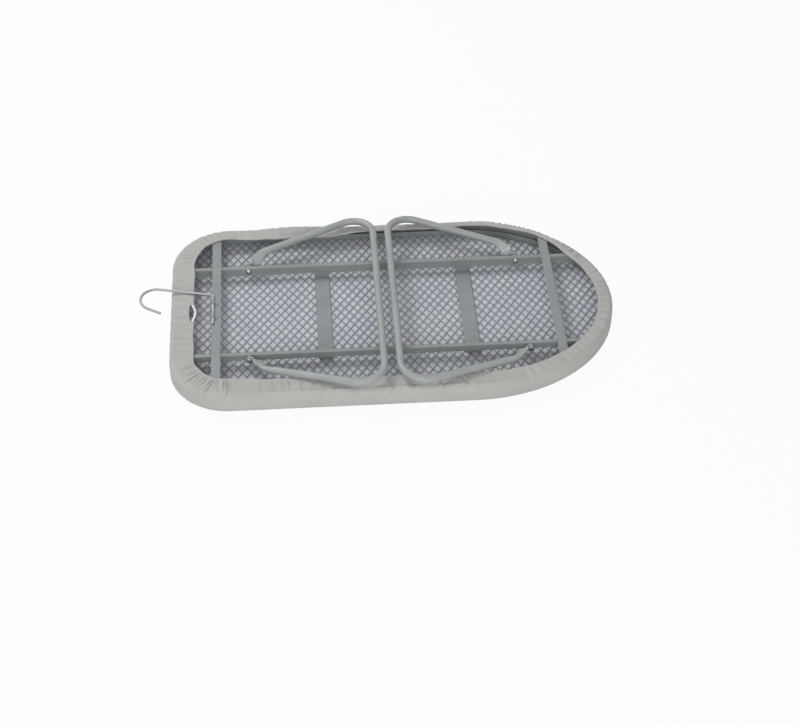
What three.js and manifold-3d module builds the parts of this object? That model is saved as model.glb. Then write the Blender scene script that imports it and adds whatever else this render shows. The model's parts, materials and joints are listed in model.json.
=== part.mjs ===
// Tabletop ironing board, lying on its ironing face with the legs folded and the hanging hook swung out.
// Millimetres. +X runs from the square tail to the round nose, +Y across the board, +Z up from the
// ironing face. The origin is the middle of the ironing face.

import * as THREE from "three";
import { mergeVertices } from "three/addons/utils/BufferGeometryUtils.js";
import Module from "manifold-3d";

const wasm = await Module();
wasm.setup();

// Fits
const CLEARANCE = 0.3; // between pieces that touch
const REST_GAP = 0.5; // under a leg or the hook where it lies over the hem
const OVERCUT = 1; // how far a cutting shape stands past what it cuts

// Outline of the board, over the cover
const BOARD_LENGTH = 600;
const BOARD_WIDTH = 350;
const TAIL_CORNER_RADIUS = 80;
const NOSE_LENGTH = 200; // half ellipse ahead of the straight sides

// Layers, from the ironing face up
const COVER_THICKNESS = 0.5;
const PAD_THICKNESS = 5;
const MESH_THICKNESS = 1.2;

// Rim: a rolled channel that opens inwards, with a lip turned up along its lower flange
const RIM_HEIGHT = 18;
const RIM_WALL = 1;
const RIM_CORNER = 2;
const RIM_UPPER_FLANGE = 8;
const RIM_LOWER_FLANGE = 7;
const RIM_LIP = 8.7;

// Hem of the cover: turned over the rim, with a casing that holds a flat elastic
const HEM_SHOULDER = 3.2;
const CASING_OVERLAP = 1.5; // flap beyond the elastic
const ELASTIC_WIDTH = 3.2;
const ELASTIC_THICKNESS = 0.6;
const CASING_MOUTH = 36; // length of bare elastic at the tail, where its ends are knotted in
const CASING_MOUTH_Y = -4;
const HEM = [
  // share of the length from the tail, width on the far (+Y) and near (-Y) side, and how far the hem
  // sags to let the folded legs lie over it on the same two sides, from 0 to 1
  [0, 34, 34, 0, 0],
  [0.07, 31, 35, 0, 0],
  [0.18, 27, 35, 0, 0],
  [0.22, 26, 35, 1, 1],
  [0.3, 26, 33, 1, 1],
  [0.38, 26, 31, 1, 1],
  [0.4, 26, 31, 0, 1],
  [0.435, 16, 31, 0, 1],
  [0.55, 15, 30, 0, 1],
  [0.66, 15, 30, 0, 1],
  [0.73, 9, 28, 0, 1],
  [0.77, 9.5, 26, 0, 0],
  [0.865, 10, 21, 0, 0],
  [0.94, 19, 20, 0, 0],
  [1, 20, 20, 0, 0],
];

// Expanded mesh, drawn with wider diamonds than the real sheet so that the gaps stay few
const MESH_PITCH_X = 32;
const MESH_PITCH_Y = 48;
const MESH_STRAND = 3;
const MESH_EDGE = 1; // how far the sheet stays inside the rim's outer wall

// Rails that carry the legs: channels open downwards, with a lip along the inner web
const RAIL_SPACING = 180; // between the rails' middles
const RAIL_WIDTH = 6;
const RAIL_HEIGHT = 9;
const RAIL_WALL = 1;
const RAIL_LIP = 3;

// Flat straps across the rim at both ends
const STRAP_WIDTH = 12.5;
const STRAP_THICKNESS = 1;
const STRAP_CORNER = 3;
const STRAP_END_INSET = 4; // from the cover's outside to the strap's ends
const TAIL_STRAP_INSET = 61.3; // from the board's ends to the straps' middles
const NOSE_STRAP_INSET = 80.2;
const HEM_DRAPE = 18; // how far the lifted hem runs on beyond a strap's edges
const HEM_RAMP = 14;

// Ties across the mesh, with ends bent up through slots in the rails' lips
const TIE_WIDTH = 20;
const TIE_THICKNESS = 1;
const TIE_SLOT_MARGIN = 2; // beside the ends
const TAIL_TIE_INSET = 145.4; // from the straps' middles to the ties' middles
const NOSE_TIE_INSET = 116.5;

// Legs: one tube each, flattened at both ends and splayed out from the rails
const TUBE_DIAMETER = 10;
const TUBE_WALL = 1;
const LEG_LENGTH = 177; // pivot to the middle of the foot bar
const FOOT_INSET = 6.3; // from the board's side to the middle of the tube at its widest
const FOOT_BEND_RADIUS = 31;
const FOOT_SPACING = 20.2; // between the two foot bars when folded
const FOLDED_MIDDLE_X = -8.4; // halfway between the foot bars
const FOLDED_TILT = 5.4; // degrees that a folded leg rises from its pivot
const ARM_SLOPE = 21.2; // degrees in plan
const TONGUE_THICKNESS = 2.4;
const TONGUE_HEIGHT = 15;
const TONGUE_EYE = 11; // height round the rivet
const TONGUE_END = 4.5; // from the pivot to the tongue's rounded end
const TONGUE_STRAIGHT = 3; // flat length from the pivot to the first bend
const TONGUE_BEND_RADIUS = 7;
const TONGUE_SPLAY = 58; // degrees in plan
const TONGUE_TWIST = 62; // degrees that the flattened end leans over from upright towards the arm
const TONGUE_RISE = 3; // how far it climbs from the pivot over the same length
const TWIST_LENGTH = 11;
const ARM_BEND_RADIUS = 20;
const FLATTEN_START = 16; // distances from the pivot where the tube starts and ends to be round
const FLATTEN_END = 46;

// Pivot rivets and the collars that hold the tongues off the rails
const RIVET_DIAMETER = 4;
const RIVET_HEAD_DIAMETER = 7;
const RIVET_HEAD_HEIGHT = 4;
const RIVET_TAIL_HEIGHT = 1.4;
const COLLAR_DIAMETER = 8;
const COLLAR_LENGTH = 4;

// Hanging hook of bent wire, hinged on the tail strap by two clips
const WIRE_DIAMETER = 3.5;
const HOOK_PIVOT_LENGTH = 60;
const HOOK_PIVOT_OFFSET = -4.3; // from the middle of the tail strap
const HOOK_CORNER_RADIUS = 4;
const HOOK_SLANT = 9; // degrees that the shank leans across the board
const HOOK_SHANK = 70;
const HOOK_BEND_RADIUS = 22;
const HOOK_BEND = 160; // degrees
const HOOK_TIP = 19;
const CLIP_SPACING = 28;
const CLIP_WIDTH = 7;
const CLIP_THICKNESS = 0.8;
const CLIP_FOOT = 4;

// Facets
const NOSE_STEPS = 24;
const CORNER_STEPS = 6;
const TAIL_STEPS = 3;
const TUBE_SIDES = 12;
const WIRE_SIDES = 8;
const ROUND_SIDES = 14;

// Heights of the layers and of what sits on them
const tailX = -BOARD_LENGTH / 2;
const halfWidth = BOARD_WIDTH / 2;
const tailStrapX = tailX + TAIL_STRAP_INSET;
const noseStrapX = -tailX - NOSE_STRAP_INSET;
const tailTieX = tailStrapX + TAIL_TIE_INSET;
const noseTieX = noseStrapX - NOSE_TIE_INSET;
const padBottom = COVER_THICKNESS + CLEARANCE;
const padTop = padBottom + PAD_THICKNESS;
const meshBottom = padTop + CLEARANCE;
const meshTop = meshBottom + MESH_THICKNESS;
const rimBottom = meshTop + CLEARANCE;
const rimTop = rimBottom + RIM_HEIGHT;
const strapBottom = rimTop + CLEARANCE;
const strapTop = strapBottom + STRAP_THICKNESS;
const hemBottom = rimTop + CLEARANCE;
const casingHeight = 2 * COVER_THICKNESS + 2 * CLEARANCE + ELASTIC_THICKNESS;
const hemTop = hemBottom + casingHeight;
const casingLength = COVER_THICKNESS + CLEARANCE + ELASTIC_WIDTH + CASING_OVERLAP;
const rimInset = COVER_THICKNESS + CLEARANCE;
const flangeInset = rimInset + RIM_UPPER_FLANGE;
const railBottom = rimTop - RAIL_HEIGHT;
const railInner = (RAIL_SPACING - RAIL_WIDTH) / 2;
const railOuter = railInner + RAIL_WIDTH;

// Places across the pivots, from the rail's inner web outwards
const collarInner = railOuter + CLEARANCE;
const tongueInner = collarInner + COLLAR_LENGTH + CLEARANCE;
const tongueMiddle = tongueInner + TONGUE_THICKNESS / 2;
const pivotZ = (rimTop + railBottom + RAIL_WALL) / 2; // middle of the web above the lip
const pivotHole = RIVET_DIAMETER + 2 * CLEARANCE;
const tubeRadius = TUBE_DIAMETER / 2;
const foldedTilt = THREE.MathUtils.degToRad(FOLDED_TILT);
const foldedReach = FOOT_SPACING / 2 + LEG_LENGTH * Math.cos(foldedTilt);
const tailPivotX = FOLDED_MIDDLE_X - foldedReach;
const nosePivotX = FOLDED_MIDDLE_X + foldedReach;

// Plan of one arm: from the tongue's bend at a splay, then at the arm's own slope to the foot's bend
const footHalf = halfWidth - FOOT_INSET;
const armSlope = THREE.MathUtils.degToRad(ARM_SLOPE);
const splay = THREE.MathUtils.degToRad(TONGUE_SPLAY);
const splayX = TONGUE_STRAIGHT + TONGUE_BEND_RADIUS * Math.sin(splay);
const splayY = tongueMiddle + TONGUE_BEND_RADIUS * (1 - Math.cos(splay));
const armEndX = LEG_LENGTH - FOOT_BEND_RADIUS * (1 + Math.sin(armSlope));
const armEndY = footHalf - FOOT_BEND_RADIUS * (1 - Math.cos(armSlope));
const armTurn = splay - armSlope;
const armTrim = ARM_BEND_RADIUS * Math.tan(armTurn / 2);
const [armRunX, armRunY] = [armEndX - splayX, armEndY - splayY];
const splayRun = armRunY * Math.cos(armSlope) - armRunX * Math.sin(armSlope);
const slopeRun = armRunX * Math.sin(splay) - armRunY * Math.cos(splay);
const splayLength = splayRun / Math.sin(armTurn) - armTrim;
const armLength = slopeRun / Math.sin(armTurn) - armTrim;

// Height just below a folded arm where it passes a distance from the board's middle line.
function underArm(y) {
  const alongX = armEndX - (armEndY - y) / Math.tan(armSlope);
  const middle = pivotZ + TONGUE_RISE * Math.cos(foldedTilt) + alongX * Math.sin(foldedTilt);
  return middle - tubeRadius / Math.cos(foldedTilt) - REST_GAP;
}

// Solids

function solidOf(geometry) {
  const bare = geometry.clone();
  bare.deleteAttribute("normal");
  bare.deleteAttribute("uv");
  const merged = mergeVertices(bare, 1e-4);
  return new wasm.Manifold(
    new wasm.Mesh({
      numProp: 3,
      vertProperties: merged.getAttribute("position").array,
      triVerts: new Uint32Array(merged.index.array),
    }),
  );
}

function geometryOf(solid) {
  const mesh = solid.getMesh();
  const geometry = new THREE.BufferGeometry();
  geometry.setAttribute("position", new THREE.BufferAttribute(mesh.vertProperties, 3));
  geometry.setIndex(new THREE.BufferAttribute(mesh.triVerts, 1));
  geometry.computeVertexNormals();
  return geometry;
}

function cut(geometry, ...tools) {
  return geometryOf(tools.reduce((solid, tool) => solid.subtract(solidOf(tool)), solidOf(geometry)));
}

// A skin through rings of equally many points: capped at both ends, or closed on itself.
function loft(rings, closed = false) {
  const count = rings[0].length;
  const faces = [];
  const bands = closed ? rings.length : rings.length - 1;
  for (let band = 0; band < bands; band += 1) {
    const here = band * count;
    const there = ((band + 1) % rings.length) * count;
    for (let i = 0; i < count; i += 1) {
      const next = (i + 1) % count;
      faces.push(here + i, here + next, there + next);
      faces.push(here + i, there + next, there + i);
    }
  }
  if (!closed) {
    const last = (rings.length - 1) * count;
    for (let i = 1; i < count - 1; i += 1) {
      faces.push(0, i + 1, i);
      faces.push(last, last + i, last + i + 1);
    }
  }
  const geometry = new THREE.BufferGeometry().setFromPoints(rings.flat());
  geometry.setIndex(faces);
  geometry.computeVertexNormals();
  return geometry;
}

function prism(shapes, bottom, top) {
  const geometry = new THREE.ExtrudeGeometry(shapes, {
    depth: top - bottom,
    bevelEnabled: false,
    curveSegments: ROUND_SIDES / 2,
  });
  return geometry.translate(0, 0, bottom);
}

// An outline in Y and Z drawn out along X.
function prismAlongX(shape, from, to) {
  const turn = new THREE.Matrix4().makeBasis(
    new THREE.Vector3(0, 1, 0),
    new THREE.Vector3(0, 0, 1),
    new THREE.Vector3(1, 0, 0),
  );
  return prism(shape, from, to).applyMatrix4(turn);
}

// An outline in X and Z drawn out along Y, to both sides of the XZ plane.
function prismAlongY(shape, width) {
  return prism(shape, -width / 2, width / 2).rotateX(Math.PI / 2);
}

function polygon(points) {
  return new THREE.Shape(points.map(([x, y]) => new THREE.Vector2(x, y)));
}

// A round pin along Y from one height on that axis to another.
function pinAlongY(diameter, from, to) {
  const pin = new THREE.CylinderGeometry(diameter / 2, diameter / 2, to - from, ROUND_SIDES);
  return pin.translate(0, (from + to) / 2, 0);
}

// The board's outline as stations: a point on the cover's outside and the way inwards from it

function boardStations() {
  const at = (x, y) => new THREE.Vector2(x, y);
  const quarter = Math.PI / 2;
  const radius = TAIL_CORNER_RADIUS;
  const cornerX = tailX + radius;
  const cornerY = halfWidth - radius;
  const noseX = BOARD_LENGTH / 2 - NOSE_LENGTH;
  const found = [];
  const follow = (curve, steps) => {
    for (let step = 0; step < steps; step += 1) {
      const along = curve.getTangent(step / steps);
      found.push({ point: curve.getPoint(step / steps), inward: at(-along.y, along.x) });
    }
  };
  const sidePlaces = HEM.map((row) => tailX + row[0] * BOARD_LENGTH).filter((x) => x > cornerX && x < noseX);
  follow(new THREE.EllipseCurve(noseX, 0, NOSE_LENGTH, halfWidth, -quarter, quarter), NOSE_STEPS);
  for (const x of [noseX, ...sidePlaces.toReversed()]) {
    found.push({ point: at(x, halfWidth), inward: at(0, -1) });
  }
  follow(new THREE.EllipseCurve(cornerX, cornerY, radius, radius, quarter, 2 * quarter), CORNER_STEPS);
  follow(new THREE.LineCurve(at(tailX, cornerY), at(tailX, -cornerY)), TAIL_STEPS);
  follow(new THREE.EllipseCurve(cornerX, -cornerY, radius, radius, 2 * quarter, 3 * quarter), CORNER_STEPS);
  for (const x of [cornerX, ...sidePlaces]) {
    found.push({ point: at(x, -halfWidth), inward: at(0, 1) });
  }
  return found;
}

const stations = boardStations();

function insetPoint(station, inset) {
  return station.point.clone().addScaledVector(station.inward, inset);
}

function insetOutline(inset) {
  return new THREE.Shape(stations.map((station) => insetPoint(station, inset)));
}

// A ring round the board. Its inset and its height are numbers, or functions of the station.
function boardRing(inset, height) {
  const valueAt = (value, station) => (typeof value === "function" ? value(station) : value);
  return stations.map((station) => {
    const point = insetPoint(station, valueAt(inset, station));
    return new THREE.Vector3(point.x, point.y, valueAt(height, station));
  });
}

// Half the board's width at a place along it, measured at an inset from the cover's outside.
function halfWidthAt(x, inset) {
  const points = stations.map((station) => insetPoint(station, inset));
  let half = 0;
  points.forEach((from, i) => {
    const to = points[(i + 1) % points.length];
    if (from.y > 0 && to.y > 0 && (from.x - x) * (to.x - x) <= 0 && from.x !== to.x) {
      half = Math.max(half, from.y + ((to.y - from.y) * (x - from.x)) / (to.x - from.x));
    }
  });
  return half;
}

// Hem

// One column of the hem's table at a station: its far value, or the near value in the next column.
function hemValue(station, farColumn) {
  const column = station.point.y > 0 ? farColumn : farColumn + 1;
  const share = (station.point.x - tailX) / BOARD_LENGTH;
  const after = HEM.findIndex((row) => row[0] >= share);
  if (after <= 0) {
    return HEM.at(after)[column];
  }
  const [low, high] = [HEM[after - 1], HEM[after]];
  return THREE.MathUtils.mapLinear(share, low[0], high[0], low[column], high[column]);
}

function hemWidth(station) {
  return hemValue(station, 1);
}

function sagShare(station) {
  return hemValue(station, 3);
}

// The hem rides up over the ends of the straps.
function hemLift(station) {
  const edge = insetPoint(station, hemWidth(station));
  if (Math.abs(edge.y) < railOuter) {
    return 0;
  }
  const plateau = STRAP_WIDTH / 2 + HEM_DRAPE;
  const shares = [tailStrapX, noseStrapX].map((strapX) => {
    const beyond = Math.abs(edge.x - strapX) - plateau;
    return THREE.MathUtils.clamp(1 - beyond / HEM_RAMP, 0, 1);
  });
  return Math.max(...shares) * (STRAP_THICKNESS + CLEARANCE);
}

// How far the casing hangs below its place on the rim, to stay under the folded arms.
function hemSag(station) {
  const edge = insetPoint(station, hemWidth(station));
  return sagShare(station) * Math.max(0, hemTop - underArm(Math.abs(edge.y)));
}

// Where the hem leaves the rim: past the rim's flange, or short of the casing where the hem is narrow.
function hemBrink(station) {
  const widest = hemWidth(station) - casingLength - CLEARANCE;
  return Math.max(HEM_SHOULDER + CLEARANCE, Math.min(flangeInset + CLEARANCE, widest));
}

function coverGeometry() {
  const edge = padTop; // radius of the soft lower edge, round the pad's edge
  const slope = Math.SQRT1_2;
  const thick = COVER_THICKNESS;
  const turn = casingHeight / 2;
  const shoulder = HEM_SHOULDER;
  const fromHem = (back) => (station) => hemWidth(station) - back;
  const lifted = (height) => (station) => height + hemLift(station);
  const hanging = (height) => (station) => height + hemLift(station) - hemSag(station);
  const onBrink = (height) => (station) =>
    height + hemLift(station) - sagShare(station) * (hemTop - hemBottom - COVER_THICKNESS - CLEARANCE);
  const outside = [
    boardRing(edge, 0),
    boardRing(edge * (1 - slope), edge * (1 - slope)),
    boardRing(0, edge),
    boardRing(0, hemTop - shoulder),
    boardRing(shoulder * (1 - slope), hemTop - shoulder * (1 - slope)),
    boardRing(shoulder, lifted(hemTop)),
    boardRing(hemBrink, onBrink(hemTop)),
    boardRing(fromHem(turn), hanging(hemTop)),
    boardRing(fromHem(0), hanging(hemTop - turn)),
    boardRing(fromHem(turn), hanging(hemBottom)),
    boardRing(fromHem(casingLength), hanging(hemBottom)),
  ];
  const inside = [
    boardRing(fromHem(casingLength), hanging(hemBottom + thick)),
    boardRing(fromHem(turn), hanging(hemBottom + thick)),
    boardRing(fromHem(thick), hanging(hemTop - turn)),
    boardRing(fromHem(turn), hanging(hemTop - thick)),
    boardRing(hemBrink, onBrink(hemTop - thick)),
    boardRing(shoulder, lifted(hemTop - thick)),
    boardRing(thick, hemTop - shoulder),
    boardRing(thick, edge),
    boardRing(edge - (edge - thick) * slope, edge - (edge - thick) * slope),
    boardRing(edge, thick),
  ];
  const tailHem = HEM[0][1];
  const mouth = new THREE.BoxGeometry(2 * casingLength, CASING_MOUTH, 4 * casingHeight);
  mouth.translate(tailX + tailHem, CASING_MOUTH_Y, hemTop);
  return cut(loft([...outside, ...inside]), mouth);
}

function elasticGeometry() {
  const middle = COVER_THICKNESS + CLEARANCE + ELASTIC_WIDTH / 2;
  const height = hemBottom + casingHeight / 2;
  const wide = ELASTIC_WIDTH / 2;
  const flat = wide - ELASTIC_THICKNESS / 2;
  const half = ELASTIC_THICKNESS / 2;
  const section = [
    [wide, 0],
    [flat, -half],
    [-flat, -half],
    [-wide, 0],
    [-flat, half],
    [flat, half],
  ];
  const rings = section.map(([inwards, up]) =>
    boardRing(
      (station) => hemWidth(station) - middle + inwards,
      (station) => height + hemLift(station) - hemSag(station) + up,
    ),
  );
  return loft(rings, true);
}

// Pad, mesh and rim

function padGeometry() {
  const slope = Math.SQRT1_2;
  return loft([
    boardRing(padTop, padBottom),
    boardRing(padTop - PAD_THICKNESS * slope, padTop - PAD_THICKNESS * slope),
    boardRing(padBottom, padTop),
  ]);
}

function diamond(x, y, share) {
  return polygon([
    [x - (MESH_PITCH_X / 2) * share, y],
    [x, y - (MESH_PITCH_Y / 2) * share],
    [x + (MESH_PITCH_X / 2) * share, y],
    [x, y + (MESH_PITCH_Y / 2) * share],
  ]);
}

function meshGeometry() {
  const lowerInset = rimInset + RIM_LOWER_FLANGE;
  const across = (MESH_PITCH_X * MESH_PITCH_Y) / Math.hypot(MESH_PITCH_X, MESH_PITCH_Y);
  const share = 1 - MESH_STRAND / across;
  const columns = Math.ceil(BOARD_LENGTH / MESH_PITCH_X);
  const rows = Math.ceil(BOARD_WIDTH / MESH_PITCH_Y);
  const gaps = [];
  for (let column = -columns; column <= columns; column += 1) {
    for (let row = -rows; row <= rows; row += 1) {
      const x = (column * MESH_PITCH_X) / 2;
      const y = (row * MESH_PITCH_Y) / 2;
      const inside = Math.abs(y) < halfWidthAt(x, lowerInset);
      if (inside && (column + row) % 2 === 0) {
        gaps.push(diamond(x, y, share));
      }
    }
  }
  const sheet = prism(insetOutline(rimInset + MESH_EDGE), meshBottom, meshTop);
  const through = prism(gaps, meshBottom - OVERCUT, meshTop + OVERCUT);
  const window = prism(insetOutline(lowerInset), meshBottom - OVERCUT, meshTop + OVERCUT);
  const openings = solidOf(through).intersect(solidOf(window));
  return geometryOf(solidOf(sheet).subtract(openings));
}

function rimGeometry() {
  const lower = rimInset + RIM_LOWER_FLANGE;
  const bend = rimInset + RIM_CORNER;
  const wall = rimInset + RIM_WALL;
  const section = [
    [lower, rimBottom],
    [bend, rimBottom],
    [rimInset, rimBottom + RIM_CORNER],
    [rimInset, rimTop - RIM_CORNER],
    [bend, rimTop],
    [flangeInset, rimTop],
    [flangeInset, rimTop - RIM_WALL],
    [bend, rimTop - RIM_WALL],
    [wall, rimTop - RIM_CORNER],
    [wall, rimBottom + RIM_CORNER],
    [bend, rimBottom + RIM_WALL],
    [lower - RIM_WALL, rimBottom + RIM_WALL],
    [lower - RIM_WALL, rimBottom + RIM_LIP],
    [lower, rimBottom + RIM_LIP],
  ];
  return loft(
    section.map(([inset, height]) => boardRing(inset, height)),
    true,
  );
}

// Rails, straps and ties

function railGeometry(side) {
  const section = polygon(
    [
      [railInner - RAIL_LIP, railBottom],
      [railInner + RAIL_WALL, railBottom],
      [railInner + RAIL_WALL, rimTop - RAIL_WALL],
      [railOuter - RAIL_WALL, rimTop - RAIL_WALL],
      [railOuter - RAIL_WALL, railBottom],
      [railOuter, railBottom],
      [railOuter, rimTop],
      [railInner, rimTop],
      [railInner, railBottom + RAIL_WALL],
      [railInner - RAIL_LIP, railBottom + RAIL_WALL],
    ].map(([y, z]) => [side * y, z]),
  );
  const channel = prismAlongX(section, tailX, -tailX);
  const holes = [tailPivotX, nosePivotX].map((x) =>
    pinAlongY(pivotHole, -railOuter - OVERCUT, railOuter + OVERCUT).translate(x, 0, pivotZ),
  );
  const slotDepth = TIE_THICKNESS + 2 * CLEARANCE;
  const slots = [tailTieX, noseTieX].map((x) =>
    new THREE.BoxGeometry(TIE_WIDTH + 2 * TIE_SLOT_MARGIN, slotDepth, RAIL_WALL + 2 * OVERCUT).translate(
      x,
      side * (railInner - slotDepth / 2),
      railBottom + RAIL_WALL / 2,
    ),
  );
  const inside = prism(insetOutline(flangeInset + CLEARANCE), railBottom - OVERCUT, rimTop + OVERCUT);
  const fitted = geometryOf(solidOf(channel).intersect(solidOf(inside)));
  return cut(fitted, ...holes, ...slots);
}

function roundedBar(length, width, corner) {
  const shape = new THREE.Shape();
  const x = width / 2 - corner;
  const y = length / 2 - corner;
  const quarter = Math.PI / 2;
  shape.absarc(x, y, corner, 0, quarter);
  shape.absarc(-x, y, corner, quarter, 2 * quarter);
  shape.absarc(-x, -y, corner, 2 * quarter, 3 * quarter);
  shape.absarc(x, -y, corner, 3 * quarter, 4 * quarter);
  return shape;
}

function strapGeometry(strapX) {
  const edges = [strapX - STRAP_WIDTH / 2, strapX + STRAP_WIDTH / 2];
  const reach = Math.min(...edges.map((x) => halfWidthAt(x, STRAP_END_INSET)));
  return prism(roundedBar(2 * reach, STRAP_WIDTH, STRAP_CORNER), strapBottom, strapTop);
}

function tieGeometry() {
  const bottom = meshTop + CLEARANCE;
  const top = rimTop - RAIL_WALL - CLEARANCE;
  const reach = railInner - CLEARANCE;
  const section = polygon([
    [-reach, bottom],
    [reach, bottom],
    [reach, top],
    [reach - TIE_THICKNESS, top],
    [reach - TIE_THICKNESS, bottom + TIE_THICKNESS],
    [TIE_THICKNESS - reach, bottom + TIE_THICKNESS],
    [TIE_THICKNESS - reach, top],
    [-reach, top],
  ]);
  return prismAlongX(section, -TIE_WIDTH / 2, TIE_WIDTH / 2);
}

// Bent tube and wire: a flat route of straights and bends, and rings along it

function bentRoute(start, heading, moves) {
  const place = { x: start[0], y: start[1], heading, distance: 0 };
  const route = [{ ...place }];
  for (const { straight, bend, radius, steps } of moves) {
    const turn = THREE.MathUtils.degToRad(bend ?? 0) / steps;
    const chord = bend ? 2 * radius * Math.sin(Math.abs(turn) / 2) : straight / steps;
    for (let step = 0; step < steps; step += 1) {
      place.x += chord * Math.cos(place.heading + turn / 2);
      place.y += chord * Math.sin(place.heading + turn / 2);
      place.heading += turn;
      place.distance += bend ? radius * Math.abs(turn) : chord;
      route.push({ ...place });
    }
  }
  return route;
}

// A ring of points square to the route: pairs of sideways and upward offsets.
function routeRing(place, offsets) {
  return offsets.map(
    ([sideways, up]) =>
      new THREE.Vector3(
        place.x - sideways * Math.sin(place.heading),
        place.y + sideways * Math.cos(place.heading),
        up,
      ),
  );
}

// Round, flattened or between, with the flattened form leaning over by a twist.
function tubeOffsets(roundness, round, flatHalf, flatHeight, twist) {
  return Array.from({ length: TUBE_SIDES }, (_, i) => {
    const angle = (2 * Math.PI * i) / TUBE_SIDES;
    const flatSide = THREE.MathUtils.clamp(2 * Math.cos(angle), -1, 1) * flatHalf;
    const sideways = THREE.MathUtils.lerp(flatSide, round * Math.cos(angle), roundness);
    const up = THREE.MathUtils.lerp(flatHeight, round, roundness) * Math.sin(angle);
    return [
      sideways * Math.cos(twist) + up * Math.sin(twist),
      up * Math.cos(twist) - sideways * Math.sin(twist),
    ];
  });
}

function legGeometry() {
  const side = [
    { straight: TONGUE_END * 0.05, steps: 1 },
    { straight: TONGUE_END * 0.35, steps: 1 },
    { straight: TONGUE_END * 0.6, steps: 1 },
    { straight: TONGUE_STRAIGHT, steps: 1 },
    { bend: TONGUE_SPLAY, radius: TONGUE_BEND_RADIUS, steps: 4 },
    { straight: splayLength, steps: 3 },
    { bend: ARM_SLOPE - TONGUE_SPLAY, radius: ARM_BEND_RADIUS, steps: 3 },
    { straight: armLength, steps: 1 },
    { bend: -90 - ARM_SLOPE, radius: FOOT_BEND_RADIUS, steps: 8 },
  ];
  const foot = { straight: 2 * (footHalf - FOOT_BEND_RADIUS), steps: 1 };
  const route = bentRoute([-TONGUE_END, tongueMiddle], 0, [...side, foot, ...side.toReversed()]);
  const total = route.at(-1).distance;
  const rings = (wall) =>
    route.map((place) => {
      const fromPivot = Math.min(place.distance, total - place.distance) - TONGUE_END;
      const roundness = THREE.MathUtils.smoothstep(fromPivot, FLATTEN_START, FLATTEN_END);
      const leaning = THREE.MathUtils.smoothstep(fromPivot, TONGUE_STRAIGHT, TONGUE_STRAIGHT + TWIST_LENGTH);
      const twist = THREE.MathUtils.degToRad(TONGUE_TWIST * leaning);
      const thin = TONGUE_THICKNESS / 2 - wall;
      const back = (0.96 * Math.min(fromPivot, 0)) / TONGUE_END; // the tongue ends in a half oval
      const tall = THREE.MathUtils.lerp(TONGUE_EYE, TONGUE_HEIGHT, leaning);
      const height = (tall / 2) * Math.sqrt(1 - back * back) - wall;
      const offsets = tubeOffsets(roundness, tubeRadius - wall, thin, height, twist);
      return routeRing(place, offsets).map((point) => point.setZ(point.z + TONGUE_RISE * leaning));
    });
  const tube = loft([...rings(0), ...rings(TUBE_WALL).toReversed()], true);
  return cut(tube, pinAlongY(pivotHole, -halfWidth, halfWidth));
}

// Rivets and collars, lying along Y

function revolve(points) {
  return new THREE.LatheGeometry(
    points.map(([radius, along]) => new THREE.Vector2(radius, along)),
    ROUND_SIDES,
  );
}

function rivetGeometry() {
  const head = RIVET_HEAD_DIAMETER / 2;
  const shank = RIVET_DIAMETER / 2;
  const headSeat = railInner - CLEARANCE;
  const tailSeat = tongueInner + TONGUE_THICKNESS + CLEARANCE;
  return revolve([
    [0, headSeat - RIVET_HEAD_HEIGHT],
    [head * 0.6, headSeat - RIVET_HEAD_HEIGHT],
    [head, headSeat - RIVET_HEAD_HEIGHT * 0.6],
    [head, headSeat],
    [shank, headSeat],
    [shank, tailSeat],
    [head, tailSeat],
    [head * 0.8, tailSeat + RIVET_TAIL_HEIGHT],
    [0, tailSeat + RIVET_TAIL_HEIGHT],
  ]);
}

function collarGeometry() {
  const hole = pivotHole / 2;
  const outside = COLLAR_DIAMETER / 2;
  return revolve([
    [hole, collarInner],
    [outside, collarInner],
    [outside, collarInner + COLLAR_LENGTH],
    [hole, collarInner + COLLAR_LENGTH],
    [hole, collarInner],
  ]);
}

// Hook and its clips

function hookGeometry() {
  const offsets = Array.from({ length: WIRE_SIDES }, (_, i) => {
    const angle = (2 * Math.PI * i) / WIRE_SIDES;
    return [(WIRE_DIAMETER / 2) * Math.cos(angle), (WIRE_DIAMETER / 2) * Math.sin(angle)];
  });
  const route = bentRoute([0, -HOOK_PIVOT_LENGTH / 2], Math.PI / 2, [
    { straight: HOOK_PIVOT_LENGTH - HOOK_CORNER_RADIUS, steps: 1 },
    { bend: 90 - HOOK_SLANT, radius: HOOK_CORNER_RADIUS, steps: 4 },
    { straight: HOOK_SHANK, steps: 1 },
    { bend: HOOK_BEND, radius: HOOK_BEND_RADIUS, steps: 14 },
    { straight: HOOK_TIP, steps: 1 },
  ]);
  return loft(route.map((place) => routeRing(place, offsets)));
}

const hookX = tailStrapX + HOOK_PIVOT_OFFSET;
const hookZ = strapTop + CLEARANCE + WIRE_DIAMETER / 2;

// Tilt at which the shank just clears the hem at the tail.
function hookTilt() {
  const hemEdge = tailX + HEM[0][1];
  return Math.atan2(hemTop + REST_GAP + WIRE_DIAMETER / 2 - hookZ, hookX - hemEdge);
}

// A strip bent over the wire, with a foot on the strap beside it.
function clipGeometry() {
  const inner = WIRE_DIAMETER / 2 + CLEARANCE;
  const outer = inner + CLIP_THICKNESS;
  const seat = strapTop + CLEARANCE - hookZ;
  const section = new THREE.Shape();
  section.moveTo(-outer, seat);
  section.lineTo(-inner, seat);
  section.absarc(0, 0, inner, Math.PI, 0, true);
  section.lineTo(inner, seat);
  section.lineTo(outer + CLIP_FOOT, seat);
  section.lineTo(outer + CLIP_FOOT, seat + CLIP_THICKNESS);
  section.lineTo(outer, seat + CLIP_THICKNESS);
  section.absarc(0, 0, outer, 0, Math.PI, false);
  return prismAlongY(section, CLIP_WIDTH);
}

// Finishes, one material for each piece

function coverCloth() {
  return new THREE.MeshStandardMaterial({ color: 0xb9b9b2, roughness: 0.85, metalness: 0 });
}

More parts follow.
